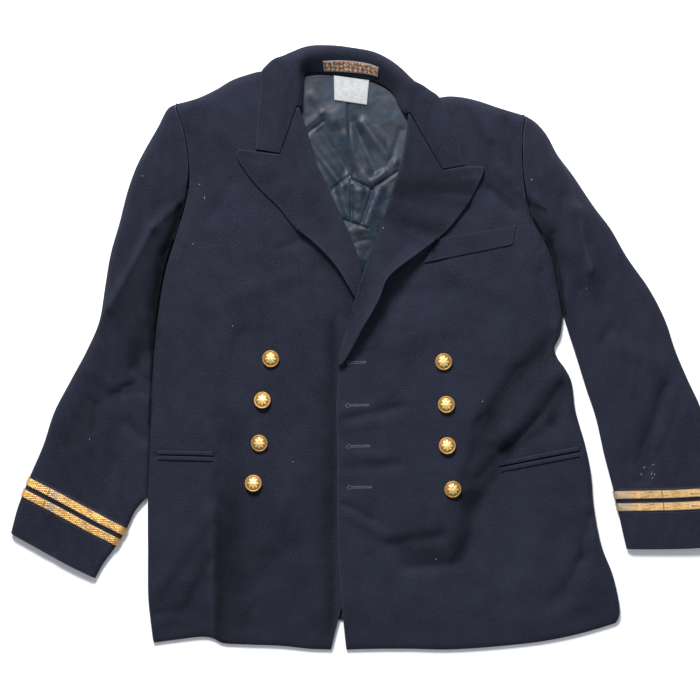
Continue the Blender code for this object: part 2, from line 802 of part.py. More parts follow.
class Pile:
    """The top of all the cloth laid so far, as a map of heights, so that the next piece clears it."""

    STEP = 1.5
    LOW = np.array([-460.0, -30.0])
    SIZE = 680, 580

    def __init__(self):
        self.top = np.full(self.SIZE, -np.inf)

    def cells(self, grid):
        """Many points in each cell of a grid of points, as an array by cell."""
        largest = max(np.linalg.norm(np.diff(grid, axis=k), axis=2).max() for k in (0, 1))
        share = np.linspace(0, 1, math.ceil(largest / self.STEP) + 2)
        u, v = np.meshgrid(share, share)
        u, v = u[None, None, ..., None], v[None, None, ..., None]
        a, b, c, d = grid[:-1, :-1], grid[:-1, 1:], grid[1:, :-1], grid[1:, 1:]
        a, b, c, d = (corner[:, :, None, None] for corner in (a, b, c, d))
        return a * (1 - u) * (1 - v) + b * u * (1 - v) + c * (1 - u) * v + d * u * v

    def places(self, points):
        index = np.rint((points[..., :2] - self.LOW) / self.STEP).astype(int)
        return tuple(np.clip(index[..., k], 0, self.SIZE[k] - 1) for k in (0, 1))

    def lay(self, grid, wall):
        """Adds a sheet's top face."""
        points = self.cells(grid + grid_normals(grid) * wall / 2)
        np.maximum.at(self.top, self.places(points), points[..., 2])

    def spread(self):
        """The map with each height carried over to the places beside it."""
        wide = self.top.copy()
        for across in (-1, 0, 1):
            for along in (-1, 0, 1):
                wide = np.maximum(wide, np.roll(self.top, (across, along), (0, 1)))
        return wide

    def clear(self, grid, wall, gap):
        """The grid with each point high enough for every cell beside it to clear the map by gap."""
        normal = grid_normals(grid)
        under = grid - normal * wall / 2
        drop = grid[..., 2] - under[..., 2]
        needed = self.spread()[self.places(self.cells(under))].max(axis=(2, 3)) + gap
        padded = np.full((grid.shape[0] + 1, grid.shape[1] + 1), -np.inf)
        padded[1:-1, 1:-1] = needed
        corner = np.maximum(
            np.maximum(padded[:-1, :-1], padded[:-1, 1:]), np.maximum(padded[1:, :-1], padded[1:, 1:])
        )
        cleared = grid.copy()
        cleared[..., 2] = np.maximum(grid[..., 2], corner + drop)
        return cleared


def material(name):
    """The named finish as a Principled BSDF, made once."""
    if name in bpy.data.materials:
        return bpy.data.materials[name]
    colour, roughness, metallic = COLOURS[name]
    made = bpy.data.materials.new(name)
    made.use_nodes = True
    shader = made.node_tree.nodes["Principled BSDF"]
    shader.inputs["Base Color"].default_value = (*colour, 1)
    shader.inputs["Roughness"].default_value = roughness
    shader.inputs["Metallic"].default_value = metallic
    return made


def placed(name, mesh, finish, location=(0, 0, 0)):
    made = bpy.data.objects.new(name, mesh)
    made.location = (Vector(location) - Vector(CENTRE)) * MM
    bpy.context.scene.collection.objects.link(made)
    if not mesh.materials:
        mesh.materials.append(material(finish))
    return made


def sheet(name, grid, wall, finish):
    """A cloth piece: the grid's quads, thickened to the wall about their middle."""
    rows, columns = grid.shape[:2]
    made = bmesh.new()
    corners = [made.verts.new(Vector(point) * MM) for point in grid.reshape(-1, 3)]
    for row in range(rows - 1):
        for column in range(columns - 1):
            k = row * columns + column
            made.faces.new([corners[k], corners[k + 1], corners[k + columns + 1], corners[k + columns]])
    mesh = bpy.data.meshes.new(name)
    made.to_mesh(mesh)
    made.free()
    mesh.shade_smooth()
    piece = placed(name, mesh, finish)
    thicken = piece.modifiers.new("wall", "SOLIDIFY")
    thicken.thickness = wall * MM
    thicken.offset = 0
    thicken.use_even_offset = True
    return piece


def laid(pile, name, grid, wall, finish, gap=LAY_GAP):
    """A cloth piece laid on the pile, clear of what is under it. Returns its grid."""
    grid = pile.clear(grid, wall, gap)
    sheet(name, grid, wall, finish)
    pile.lay(grid, wall)
    return grid


def quad_plan(corners, cell):
    """Plan points over a four-sided outline: its lower start and end, then its upper end and start."""
    low_start, low_end, high_end, high_start = (np.array(corner, float) for corner in corners)
    width, depth = np.linalg.norm(low_end - low_start), np.linalg.norm(high_start - low_start)
    s = np.linspace(0, 1, max(2, math.ceil(width / cell) + 1))[None, :, None]
    t = np.linspace(0, 1, max(2, math.ceil(depth / cell) + 1))[:, None, None]
    low = low_start + s * (low_end - low_start)
    high = high_start + s * (high_end - high_start)
    plan = low + t * (high - low)
    return plan[..., 0], plan[..., 1]


def front_loft(rows, hem, mound_rows, fold_rows):
    """A front's height over the plan: by the height above its hem, with mounds and folds added.

    The hem lies flat, so both fade over its lowest part.
    """
    order = np.argsort(hem["x"])

    def height(x, y):
        up = y - np.interp(x, hem["x"][order], hem["y"][order])
        base = np.interp(up, rows["up"], rows["z"])
        extra = mounds(mound_rows, x, y) + folds(fold_rows, x, y)
        return np.maximum(base + extra * np.clip(up / HEM_FADE, 0, 1), LOWEST_FRONT)

    return height


def front_panel(edge, roll, hem, shoulder, armhole, beside, skirt, loft, side):
    """One front. side is 1 on the wearer's left, whose x is positive, and -1 on the right."""
    inner = Line(edge).joined(Line(roll)).inset(-side)
    outer = Line(skirt).reversed().joined(Line(beside).reversed()).joined(Line(armhole).reversed())
    outer = outer.inset(side)
    top = Line(shoulder).inset(-side)
    bottom = Line(hem)
    top.pin(inner.points[-1], outer.points[-1])
    bottom.pin(inner.points[0], outer.points[0])
    return Panel(inner, outer, bottom, top, loft, [outer, top, bottom])


def sleeve_panel(outer_rows, armhole, beside, inner_rows, cuff, mound_rows, fold_rows, side):
    """The top of one sleeve, from the armhole to the cuff."""
    outer = Line(outer_rows).inset(-side)
    head = Line(armhole).inset(side)
    inner = Line(beside).joined(Line(inner_rows)).inset(side)
    end = Line(cuff)
    head.pin(outer.points[0], inner.points[0])
    end.pin(outer.points[-1], inner.points[-1])
    start, axis = head.at(0.5), end.at(0.5) - head.at(0.5)

    def loft(x, y):
        along = ((x - start[0]) * axis[0] + (y - start[1]) * axis[1]) / (axis @ axis)
        base = np.interp(along, SLEEVE_LOFT["along"], SLEEVE_LOFT["z"])
        return np.maximum(base + mounds(mound_rows, x, y) + folds(fold_rows, x, y), LOWEST_SLEEVE)

    return Panel(outer, inner, head, end, loft, [outer, head, inner])


def front_grid(panel):
    inner, outer, hem, top = panel.sides
    s = shares((hem.length + top.length) / 2 * 1.1, CELL, rolled_end=9)
    t = shares((inner.length + outer.length) / 2, CELL, rolled_start=HEM["roll"], rolled_end=13)
    return panel.grid(s, t)


def make_sleeve(side_name, panel, pile):
    """The sleeve's top, its under side and the two rings of lace round its cuff."""
    outer, inner, head, end = panel.sides
    s = shares((head.length + end.length) / 2, CELL, rolled_start=8, rolled_end=8)
    top = panel.grid(s, shares((outer.length + inner.length) / 2, CELL))
    sheet(f"{side_name}_top_sleeve", top, OUTER_WALL, "wool")
    pile.lay(top, OUTER_WALL)
    lengths = (1 - s) * outer.length + s * inner.length
    for place, start in LACE_STARTS.items():
        from_cuff = np.array([[start + LACE_WIDTH], [start]])
        plan = panel.plan(*np.broadcast_arrays(s, 1 - from_cuff / lengths))
        band = np.dstack([plan, panel.height(plan[..., 0], plan[..., 1])])
        band += grid_normals(band) * (OUTER_WALL / 2 + LAY_GAP + LACE_WALL / 2)
        sheet(f"{side_name}_{place}_lace", band, LACE_WALL, "lace")


def under_sleeve_grid(outer_rows, armhole, beside, inner_rows, cuff, side, **_):
    """The sleeve's under side, a flat sheet on the ground, which meets the back under the seam."""
    outer = Line(outer_rows).inset(-side, extra=UNDER_INSET)
    head = Line(armhole).inset(side, "under", -1, UNDER_GAP)
    inner = Line(beside).joined(Line(inner_rows)).inset(side, "under", -1, UNDER_GAP)
    end = Line(cuff)
    head.points, outer.points = head.points[CORNER_CUT:], outer.points[2 * CORNER_CUT :]
    outer.pin(head.points[0], outer.points[-1])
    head.pin(outer.points[0], inner.points[0])
    end.pin(outer.points[-1], inner.points[-1])
    s, t = np.meshgrid(shares(head.length, PLATE_CELL), shares(outer.length, PLATE_CELL))
    plan = patch(outer, inner, head, end, s, t)
    return np.dstack([plan, np.full(plan.shape[:2], PLATE_WALL / 2)])


def back_grid():
    """The back, a flat sheet on the ground under both fronts, a little inside their outline."""
    neck = Line(BACK_NECK)
    tops = []
    for shoulder, side in ((RIGHT_SHOULDER, 1), (LEFT_SHOULDER, -1)):
        points = Line(shoulder).inset(side, extra=UNDER_INSET).points
        beyond = (points[:, 0] - neck.points[0 if side > 0 else -1, 0]) * side < -2
        tops.append(points[beyond, :2])
    top = Line.through(np.vstack([tops[0][::-1], neck.points, tops[1]]))
    sides = []
    for side, k, rows in (
        (-1, 0, (RIGHT_SKIRT_SIDE, RIGHT_BESIDE_SLEEVE, RIGHT_ARMHOLE)),
        (1, -1, (LEFT_SKIRT_SIDE, LEFT_BESIDE_SLEEVE, LEFT_ARMHOLE)),
    ):
        skirt, beside, armhole = (Line(part).reversed().inset(side, "under") for part in rows)
        points = skirt.joined(beside).joined(armhole).points
        line = Line.through(points[points[:, 1] > BACK_HEM["y"][k]])
        line.points[-1] = top.points[k]
        line.measure()
        sides.append(line)
    hem = Line(BACK_HEM)
    hem.pin(sides[0].points[0], sides[1].points[0])
    s, t = np.meshgrid(shares(hem.length, PLATE_CELL), shares(sides[0].length, PLATE_CELL))
    plan = patch(*sides, hem, top, s, t)
    return np.dstack([plan, np.full(plan.shape[:2], PLATE_WALL / 2)])


def lapel_grid(panel, roll, edge, gorge, peak, fold_rows):
    """The lapel, raised from its front, with the roll at its inner side and its edge lifted."""
    outer = Line(edge)
    end = Line(gorge).joined(Line(peak))
    inner = Line(roll)
    inner = Line.through(np.vstack([inner.points[inner.points[:, 1] < gorge["y"][0], :2], end.points[0]]))
    start = Line.through(np.array([inner.points[0, :2], outer.points[0, :2]]))
    corner = Line(gorge).length / end.length
    inside = shares(LAPEL_ACROSS * corner, LAPEL_CELL, rolled_start=LAPEL_ROLL) * corner
    beyond = corner + shares(LAPEL_ACROSS * (1 - corner), LAPEL_CELL)[1:] * (1 - corner)
    t = shares(outer.length, LAPEL_CELL)
    t[0] = LAPEL_TIP
    s, t = np.meshgrid(np.concatenate([inside, beyond]), t)
    plan = patch(inner, outer, start, end, s, t)
    x, y = plan[..., 0], plan[..., 1]
    from_roll = np.linalg.norm(plan - plan[:, :1], axis=2)
    lift = np.interp(t * outer.length, outer.along, outer.column("lift")) * s**2
    rise = LAPEL_ROLL_RISE * np.exp(-((from_roll / LAPEL_ROLL_REACH) ** 2))
    out = OUTER_WALL + LAY_GAP + np.maximum(lift + rise + folds(fold_rows, x, y) * s, 0)
    return panel.raised(x, y, out)


def rolled_over(grid):
    """A lapel's grid with its first columns brought down in the roll."""
    from_roll = np.linalg.norm((grid - grid[:, :1])[..., :2], axis=2)
    share = 1 - np.clip(from_roll / LAPEL_ROLL, 0, 1)
    rolled = grid.copy()
    rolled[..., 2] -= LAPEL_ROLL_DROP * (1 - np.sqrt(1 - share**2))
    return rolled


def collar_grid(fronts):
    """The collar's sections, smoothed round the neck, with the leaf clear above the fronts."""
    names = COLLAR_COLUMNS.split()
    knots = np.array([COLLAR[name] for name in names]).T
    by_crest = [3, 4, *(k for k in range(len(names)) if k not in (3, 4))]
    smooth = catmull_rom(knots[:, by_crest], COLLAR_ALONG)
    sections = smooth[:, np.argsort(by_crest)]
    grid = []
    for row in sections:
        points = row[:12].reshape(4, 3)
        curved = bent(points, COLLAR_ACROSS)
        stand = polyline(points[:2], COLLAR_ACROSS)
        leaf = polyline(points[1:], COLLAR_ACROSS)
        corner = min(1.0, max(0.0, row[12]))
        grid.append(corner * np.vstack([stand, leaf[1:]]) + (1 - corner) * curved)
    grid = np.array(grid)
    leaf = slice(COLLAR_ACROSS + 1, None)
    grid[:, leaf] = fronts.clear(grid, COLLAR_WALL, LAY_GAP)[:, leaf]
    return grid


def bent(points, steps):
    """A smooth curve through a few points in space, with the same steps between each two."""
    ring = np.vstack([2 * points[0] - points[1], points, 2 * points[-1] - points[-2]])
    found = []
    for k in range(1, len(ring) - 2):
        p0, p1, p2, p3 = ring[k - 1 : k + 3]
        t = np.linspace(0, 1, steps + 1)[:-1, None]
        square = 2 * p0 - 5 * p1 + 4 * p2 - p3
        cube = 3 * p1 - p0 - 3 * p2 + p3
        found.append(p1 + 0.5 * ((p2 - p0) * t + square * t**2 + cube * t**3))
    return np.vstack([*found, points[-1:]])


def polyline(points, steps):
    """Straight runs through a few points in space, with the same steps in each."""
    share = np.linspace(0, 1, steps + 1)[:-1, None]
    return np.vstack([*(a + (b - a) * share for a, b in zip(points, points[1:])), points[-1:]])


def lining_grid():
    """The back's lining where the open neck shows it, with its largest folds."""
    near, far = Line(LINING_SIDE_RIGHT), Line(LINING_SIDE_LEFT)
    start = Line.through(np.array([near.points[0], far.points[0]]))
    end = Line(LINING_NECK)
    s, t = np.meshgrid(np.linspace(0, 1, 10), np.linspace(0, 1, 19))
    plan = patch(near, far, start, end, s, t)
    x, y = plan[..., 0], plan[..., 1]
    fade = np.clip(np.minimum(t / 0.1, (1 - t) / 0.12), 0, 1) * np.sqrt(np.sin(math.pi * s))
    z = np.interp(y, LINING_LOFT["y"], LINING_LOFT["z"]) + folds(LINING_FOLDS, x, y) * fade
    return np.dstack([plan, z])


def on_stand(collar, corners, wall):
    """A label's grid on the inner face of the collar's stand.

    The corners are shares along the collar and up its stand, in the order that quad_plan takes.
    """
    along, up = quad_plan(corners, LABEL_CELL)
    facing = grid_normals(collar)[..., None, :] * np.array([0, 1])[:, None]
    both = np.concatenate([collar[..., None, :], facing[..., 1:, :]], axis=2)
    row = along * (len(collar) - 1)
    column = up * COLLAR_ACROSS
    low_row, low_column = np.floor(row).astype(int), np.floor(column).astype(int)
    u, v = (row - low_row)[..., None, None], (column - low_column)[..., None, None]
    near = both[low_row, low_column] * (1 - v) + both[low_row, low_column + 1] * v
    far = both[low_row + 1, low_column] * (1 - v) + both[low_row + 1, low_column + 1] * v
    found = near * (1 - u) + far * u
    return found[..., 0, :] + found[..., 1, :] * (COLLAR_WALL / 2 + LAY_GAP + wall / 2)


def lay_flat(pile, name, corners, wall, finish):
    """A small four-sided piece laid on the pile, following it."""
    x, y = quad_plan(corners, TRIM_CELL)
    laid(pile, name, np.dstack([x, y, np.zeros(x.shape)]), wall, finish, SEAM_GAP)


def make_trims(pile, collar):
    """The pocket jets on the fronts, and the label and patch inside the neck."""
    for name, corners in {**RIGHT_JETS, **LEFT_JETS}.items():
        lay_flat(copy.deepcopy(pile), name, corners, TRIM_WALL, "wool")
    lay_flat(pile, "fabric_patch", FABRIC_PATCH, LABEL_WALL, "patch")
    sheet("woven_label", on_stand(collar, WOVEN_LABEL, LABEL_WALL), LABEL_WALL, "label")


def button_mesh():
    """A domed metal button with a rim and a shank, turned about its own z."""
    made = bmesh.new()
    profile = zip(BUTTON_PROFILE["radius"], BUTTON_PROFILE["z"])
    points = [made.verts.new(Vector((radius, 0, z)) * MM) for radius, z in profile]
    edges = [made.edges.new(pair) for pair in zip(points, points[1:])]
    bmesh.ops.spin(
        made,
        geom=points + edges,
        cent=(0, 0, 0),
        axis=(0, 0, 1),
        steps=BUTTON_SIDES,
        angle=math.tau,
        use_merge=True,
    )
    bmesh.ops.remove_doubles(made, verts=made.verts, dist=1e-6)
    bmesh.ops.recalc_face_normals(made, faces=made.faces)
    mesh = bpy.data.meshes.new("button")
    made.to_mesh(mesh)
    made.free()
    mesh.shade_smooth()
    return mesh


def make_buttons(pile):
    """Eight buttons in two columns, each on its shank and a little tilted."""
    mesh = button_mesh()
    spread = pile.spread()
    points = np.array([vertex.co for vertex in mesh.vertices]) / MM
    for k in range(len(BUTTONS["x"])):
        x, y, tilt_x, tilt_y = (BUTTONS[name][k] for name in ("x", "y", "tilt_x", "tilt_y"))
        turn = Euler((math.radians(tilt_x), math.radians(tilt_y), 0))
        turned = points @ np.array(turn.to_matrix()).T + (x, y, 0)
        base = (spread[pile.places(turned)] - turned[:, 2]).max() + SEAM_GAP
        side_name, number = ("right", k + 1) if k < 4 else ("left", k - 3)
        button = placed(f"{side_name}_button_{number}", mesh, "brass", (x, y, base))
        button.rotation_euler = turn


def main():
    for old in list(bpy.data.objects):
        bpy.data.objects.remove(old)
    right = front_panel(
        RIGHT_FRONT_EDGE,
        RIGHT_ROLL,
        RIGHT_HEM,
        RIGHT_SHOULDER,
        RIGHT_ARMHOLE,
        RIGHT_BESIDE_SLEEVE,
        RIGHT_SKIRT_SIDE,
        front_loft(RIGHT_LOFT, RIGHT_HEM, RIGHT_MOUNDS, RIGHT_FOLDS),
        side=-1,
    )
    left = front_panel(
        LEFT_FRONT_EDGE,
        LEFT_ROLL,
        LEFT_HEM,
        LEFT_SHOULDER,
        LEFT_ARMHOLE,
        LEFT_BESIDE_SLEEVE,
        LEFT_SKIRT_SIDE,
        front_loft(LEFT_LOFT, LEFT_HEM, LEFT_MOUNDS, LEFT_FOLDS),
        side=1,
    )
    right_lapel = RIGHT_ROLL, RIGHT_LAPEL_EDGE, RIGHT_LAPEL_TOP, RIGHT_LAPEL_PEAK, RIGHT_LAPEL_FOLDS
    left_lapel = LEFT_ROLL, LEFT_LAPEL_EDGE, LEFT_LAPEL_TOP, LEFT_LAPEL_PEAK, LEFT_LAPEL_FOLDS
    pile = Pile()
    laid(pile, "back", back_grid(), PLATE_WALL, "wool")
    laid(pile, "back_lining", lining_grid(), LINING_WALL, "lining")
    under_collar = Pile()
    over_fronts = Pile()
    for name, panel, lapel in (("right", right, right_lapel), ("left", left, left_lapel)):
        front = laid(over_fronts, f"{name}_front", front_grid(panel), OUTER_WALL, "wool")
        under_collar.lay(front, OUTER_WALL)
        if name == "left":
            lay_flat(over_fronts, "breast_welt", WELT, TRIM_WALL, "wool")
        cleared = over_fronts.clear(lapel_grid(panel, *lapel), OUTER_WALL, LAY_GAP)
        laid(over_fronts, f"{name}_lapel", rolled_over(cleared), OUTER_WALL, "wool", SEAM_GAP)
    np.maximum(pile.top, over_fronts.top, out=pile.top)
    collar = collar_grid(under_collar)
    sheet("collar", collar, COLLAR_WALL, "wool")
    for name, rows in SLEEVES.items():
        make_sleeve(name, sleeve_panel(**rows), pile)
        sheet(f"{name}_under_sleeve", under_sleeve_grid(**rows), PLATE_WALL, "wool")
    make_trims(pile, collar)
    make_buttons(pile)


main()
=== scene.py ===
"""Looks of a double-breasted service dress jacket that lies flat on its back, sleeves spread.

Sizes are in millimetres. x runs to the right as the jacket is seen from above, y from the hem to
the collar, and z up from the surface that it lies on. Right and left are the wearer's. Every
cloth piece is a fine grid of points on the middle of its wall, closed into a shell with a
rounded edge, on the same lines as its solid.
"""

import copy
import logging
import math
from collections.abc import Callable, Sequence
from dataclasses import dataclass, field
from enum import Enum

import bpy
import numpy as np
from mathutils import Euler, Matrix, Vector


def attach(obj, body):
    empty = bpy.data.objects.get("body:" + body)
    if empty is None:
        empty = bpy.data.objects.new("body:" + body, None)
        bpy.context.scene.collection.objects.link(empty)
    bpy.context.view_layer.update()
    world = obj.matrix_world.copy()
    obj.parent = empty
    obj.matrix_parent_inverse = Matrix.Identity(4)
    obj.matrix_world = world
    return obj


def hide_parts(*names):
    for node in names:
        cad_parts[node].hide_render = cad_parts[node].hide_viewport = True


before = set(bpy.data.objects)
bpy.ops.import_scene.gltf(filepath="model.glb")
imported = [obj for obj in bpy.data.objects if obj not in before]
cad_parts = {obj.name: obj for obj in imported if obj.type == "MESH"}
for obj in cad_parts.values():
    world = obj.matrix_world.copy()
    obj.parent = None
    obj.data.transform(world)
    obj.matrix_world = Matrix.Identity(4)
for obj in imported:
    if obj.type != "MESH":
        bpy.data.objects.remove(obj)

LOG = logging.getLogger("jacket")
MM = 0.001

Grid = np.ndarray
Table = dict[str, np.ndarray]
Height = Callable[[np.ndarray, np.ndarray], np.ndarray]
Corners = Sequence[tuple[float, float]]
Tree = bpy.types.NodeTree
Socket = bpy.types.NodeSocket
Node = bpy.types.Node


class Side(Enum):
    """Which half of the jacket, as the sign of its x."""

    RIGHT = -1
    LEFT = 1

    @property
    def word(self) -> str:
        """The side's name as the pieces' names have it."""
        return self.name.lower()


def table(columns: str, *rows: Sequence[float], **usual: float) -> Table:
    """Rows of numbers as named columns.

    Args:
        columns: The columns' names, with spaces between them.
        rows: One row of numbers for each knot, which may leave out its last ones.
        usual: What a column has where a row leaves it out, also for a column with no name yet.

    Returns:
        Each column's numbers by its name.
    """
    names = columns.split()
    names += [name for name in usual if name not in names]
    filled = [(*row, *(usual[name] for name in names[len(row) :])) for row in rows]
    return dict(zip(names, np.array(filled, float).T))


# Walls and gaps
OUTER_WALL = 3.0
PLATE_WALL = 2.5
COLLAR_WALL = 3.4
LINING_WALL = 1.0
TRIM_WALL = 1.2
LACE_WALL = 1.0
LABEL_WALL = 0.8
SEAM_GAP = 0.35
LAY_GAP = 0.6
UNDER_GAP = 0.7
UNDER_INSET = 1.2
HEM = {"edge": OUTER_WALL / 2 + 0.2, "roll": 8.0}
LOWEST_FRONT = PLATE_WALL + LAY_GAP + OUTER_WALL / 2

# The plan's middle, which the model's origin stands under
CENTRE = (38.5, 400.75, 0.0)

# Cuff lace, from the cuff's end
LACE_WIDTH = 11.0
LACE_STARTS = {"lower": 52.0, "upper": 68.5}


# Where each front or sleeve ends. edge is the height of the sheet's middle there, roll how far
# in from the edge it has risen to its full height, and inset how far the sheet's middle lies
# inside the drawn line, which is where two pieces meet or where the cloth turns out of sight.
# under is how far inside that line the back ends.
RIGHT_ARMHOLE = table(
    "x y inset edge roll under",
    (-217, 725.5, 0.6, 30, 9, -4), (-207, 698), (-201, 672), (-198, 638, 0.4),
    (-200, 610, 1.8, 11.5, 10),
    (-206, 582, 1.8, 7, 11),
    edge=30, roll=9, inset=0.3, under=-3.5,
)
RIGHT_BESIDE_SLEEVE = table(
    "x y edge roll under inset",
    (-206, 582, 7, 11, -3.5, 1.8), (-219, 541, 5.4, 13), (-231, 499, 5, 12), (-239, 452, 5, 10),
    (-245, 399, 4.6), (-249, 332), (-251, 262),
    (-254, 201, 3.6, 9, -1.5),
    edge=3.6, roll=9, inset=1.9, under=-3,
)
RIGHT_SKIRT_SIDE = table(
    "x y edge inset under roll",
    (-254, 201, 3.6, 1.9, -1.5),
    (-254, 196, 3.5, 1.7, 3), (-253.5, 133), (-253, 66),
    (-247, 9, 3.4, 1.5, 3.7, 7),
    edge=3.4, roll=9, inset=1.5, under=3.7,
)
LEFT_ARMHOLE = table(
    "x y inset edge roll under",
    (249, 710.5, 0.6, 30, 9, -4), (245, 685), (245, 657), (247, 625, 0.4),
    (252, 594, 1.8, 9, 10),
    edge=30, roll=9, inset=0.3, under=-3.5,
)
LEFT_BESIDE_SLEEVE = table(
    "x y edge roll under inset",
    (252, 594, 8.5, 10, -3.5, 1.8),
    (260, 570, 5, 11, -3.5, 2), (274, 545, 4.2, 11), (286, 519, 3.8), (293, 484, 3.6, 9),
    (300, 442, 3.6, 9, -1.5),
    roll=10, inset=1.9, under=-3,
)
LEFT_SKIRT_SIDE = table(
    "x y edge roll inset under",
    (300, 442, 3.6, 9, 1.9, -1.5),
    (299.2, 437, 3.5, 9, 1.7, 3), (296, 417), (288.5, 400), (293, 387), (303, 373), (311, 357),
    (316, 320), (329.5, 272), (337, 235), (341, 190), (351.5, 137), (367, 97), (376, 47, 3.4, 8),
    (372, 36, 3.4, 7),
    edge=3.4, roll=9, inset=1.5, under=3.7,
)
RIGHT_SHOULDER = table(
    "x y",
    (-60, 768), (-101, 770), (-120, 765.5), (-141, 758), (-164, 744.5), (-188, 733.5), (-217, 725.5),
    edge=3.4, roll=13, inset=1.5,
)
LEFT_SHOULDER = table(
    "x y",
    (88, 746), (110, 740), (132, 735), (149, 736.5), (169, 734.5), (189, 729.5), (216, 720.5),
    (249, 710.5),
    edge=3.4, roll=13, inset=1.5,
)
RIGHT_SLEEVE_OUTER = table(
    "x y roll",
    (-217, 725.5, 12), (-226, 720.5, 12), (-240, 695, 12), (-267, 646, 12), (-280, 611, 11),
    (-291, 568, 10), (-303, 526), (-310, 485), (-318, 437), (-334, 399), (-356, 358), (-378, 316, 8),
    (-393, 271, 7), (-411, 229, 6), (-427, 188, 6), (-436, 154, 6),
    edge=3.4, roll=9, inset=1.5,
)
RIGHT_SLEEVE_INNER = table(
    "x y roll edge inset under",
    (-254, 201, 8, 3.6, 1.9, -1.5), (-259.5, 196, 7), (-269, 185, 7), (-281, 160.5), (-294.5, 138),
    (-313, 112.5), (-323, 94),
    edge=3.4, roll=6, inset=1.5, under=-2.8,
)
LEFT_SLEEVE_OUTER = table(
    "x y roll",
    (249, 710.5, 12), (262, 702.5, 12), (277, 686, 12), (293, 657, 12), (312, 632, 11), (341, 589, 10),
    (363, 560), (385, 522), (415, 479), (436, 438), (449, 399), (465.5, 360, 8), (483.5, 321, 8),
    (496, 279, 7), (504, 240, 6), (511, 190, 6), (513, 137, 6),
    edge=3.4, roll=9, inset=1.5,
)
LEFT_SLEEVE_INNER = table(
    "x y roll edge inset under",
    (300, 442, 8, 3.6, 1.9, -1.5), (304, 430), (314, 399), (330.5, 346), (342.5, 310, 7), (354, 259, 7),
    (367, 209, 6), (377.5, 161, 6), (384, 133, 6),
    edge=3.4, roll=8, inset=1.5, under=-2.8,
)

# Front edges and roll lines from the hem to the neck. At the roll line the lapel turns over.
RIGHT_FRONT_EDGE = table(
    "x y inset",
    (-9, 0), (0, 37), (4, 51), (12, 80), (23, 146), (32, 239), (40, 332), (43, 412, 2),
    inset=0,
)
RIGHT_ROLL = table(
    "x y inset",
    (43, 412, 2), (40, 452), (32, 496), (24, 527), (11, 559), (-7, 597), (-21, 626), (-31, 650),
    (-39, 678), (-46, 700), (-53, 721), (-56, 745), (-60, 768),
    inset=4.2,
)
LEFT_FRONT_EDGE = table(
    "x y inset",
    (11, 0), (7, 37), (4, 67), (0, 133), (-1, 200), (-1, 266), (-2, 332), (0, 374, 2),
    inset=0,
)
LEFT_ROLL = table(
    "x y inset",
    (0, 374, 2), (4, 398), (13, 426), (24, 464), (32, 492), (43, 524), (52, 548), (60, 569), (68, 591),
    (78, 625), (85, 645), (89, 665), (93, 692), (94, 712), (92, 732), (88, 746),
    inset=4.2,
)
RIGHT_HEM = table(
    "x y",
    (-9, 0), (-37, 1), (-77, 5), (-130, 7), (-155, 9), (-164, 14), (-177, 17), (-217, 13), (-247, 9),
)
LEFT_HEM = table(
    "x y",
    (11, 0), (56, 1), (98, 1), (141, 0), (185, 2), (269, 10.5), (313, 19), (343, 27), (372, 36),
)
RIGHT_CUFF = table("x y", (-436, 154), (-397, 132.5), (-359, 111.5), (-323, 94))
LEFT_CUFF = table("x y", (513, 137), (470, 134), (428, 133), (384, 133))

# How high the middle of each front lies, by its height above the hem
RIGHT_LOFT = table(
    "up z",
    (0, 4.9), (20, 5.3), (40, 6.4), (60, 7.4), (110, 8.3), (250, 8.5), (400, 9.5), (500, 11.5),
    (600, 13), (700, 14.5), (770, 15),
)
LEFT_LOFT = table(
    "up z",
    (0, 4.9), (20, 5.5), (45, 7.4), (70, 9.2), (110, 10.2), (250, 9.8), (400, 10.5), (500, 12),
    (600, 13), (700, 14.5), (770, 15),
)

# Soft mounds and hollows: x and y of the middle, reach across and along, and height
RIGHT_MOUNDS = table(
    "x y across along height",
    (-180, 700, 60, 60, 4),
    (-110, 540, 80, 90, 2.2),
    (34, 240, 36, 160, -3.2),
    (45, 420, 40, 60, -2.6),
    (-60, 170, 50, 90, 1.5),
    (-215, 330, 35, 120, 1.5),
    (-203, 480, 26, 90, 5),
    (-12, 220, 15, 170, -4),
    (-138, 260, 22, 130, -3.2),
    (-64, 250, 28, 140, 2.4),
)
LEFT_MOUNDS = table(
    "x y across along height",
    (215, 690, 60, 60, 4),
    (150, 540, 80, 70, 2),
    (38, 448, 44, 52, 4.6),
    (12, 400, 26, 60, 2.4),
    (100, 230, 60, 120, 1.2),
    (300, 130, 50, 70, 2),
    (256, 520, 26, 60, 4),
)
RIGHT_SLEEVE_MOUNDS = table(
    "x y across along height",
    (-225, 665, 45, 60, 5),
    (-262, 560, 50, 60, 4),
    (-262, 470, 30, 70, 5),
    (-265, 392, 16, 26, -6),
    (-300, 300, 40, 60, 1.2),
)
LEFT_SLEEVE_MOUNDS = table(
    "x y across along height",
    (268, 655, 40, 60, 5),
    (320, 560, 50, 60, 2.5),
    (308, 520, 22, 60, 4),
    (352, 460, 24, 16, -2),
    (410, 400, 50, 60, 1.4),
)

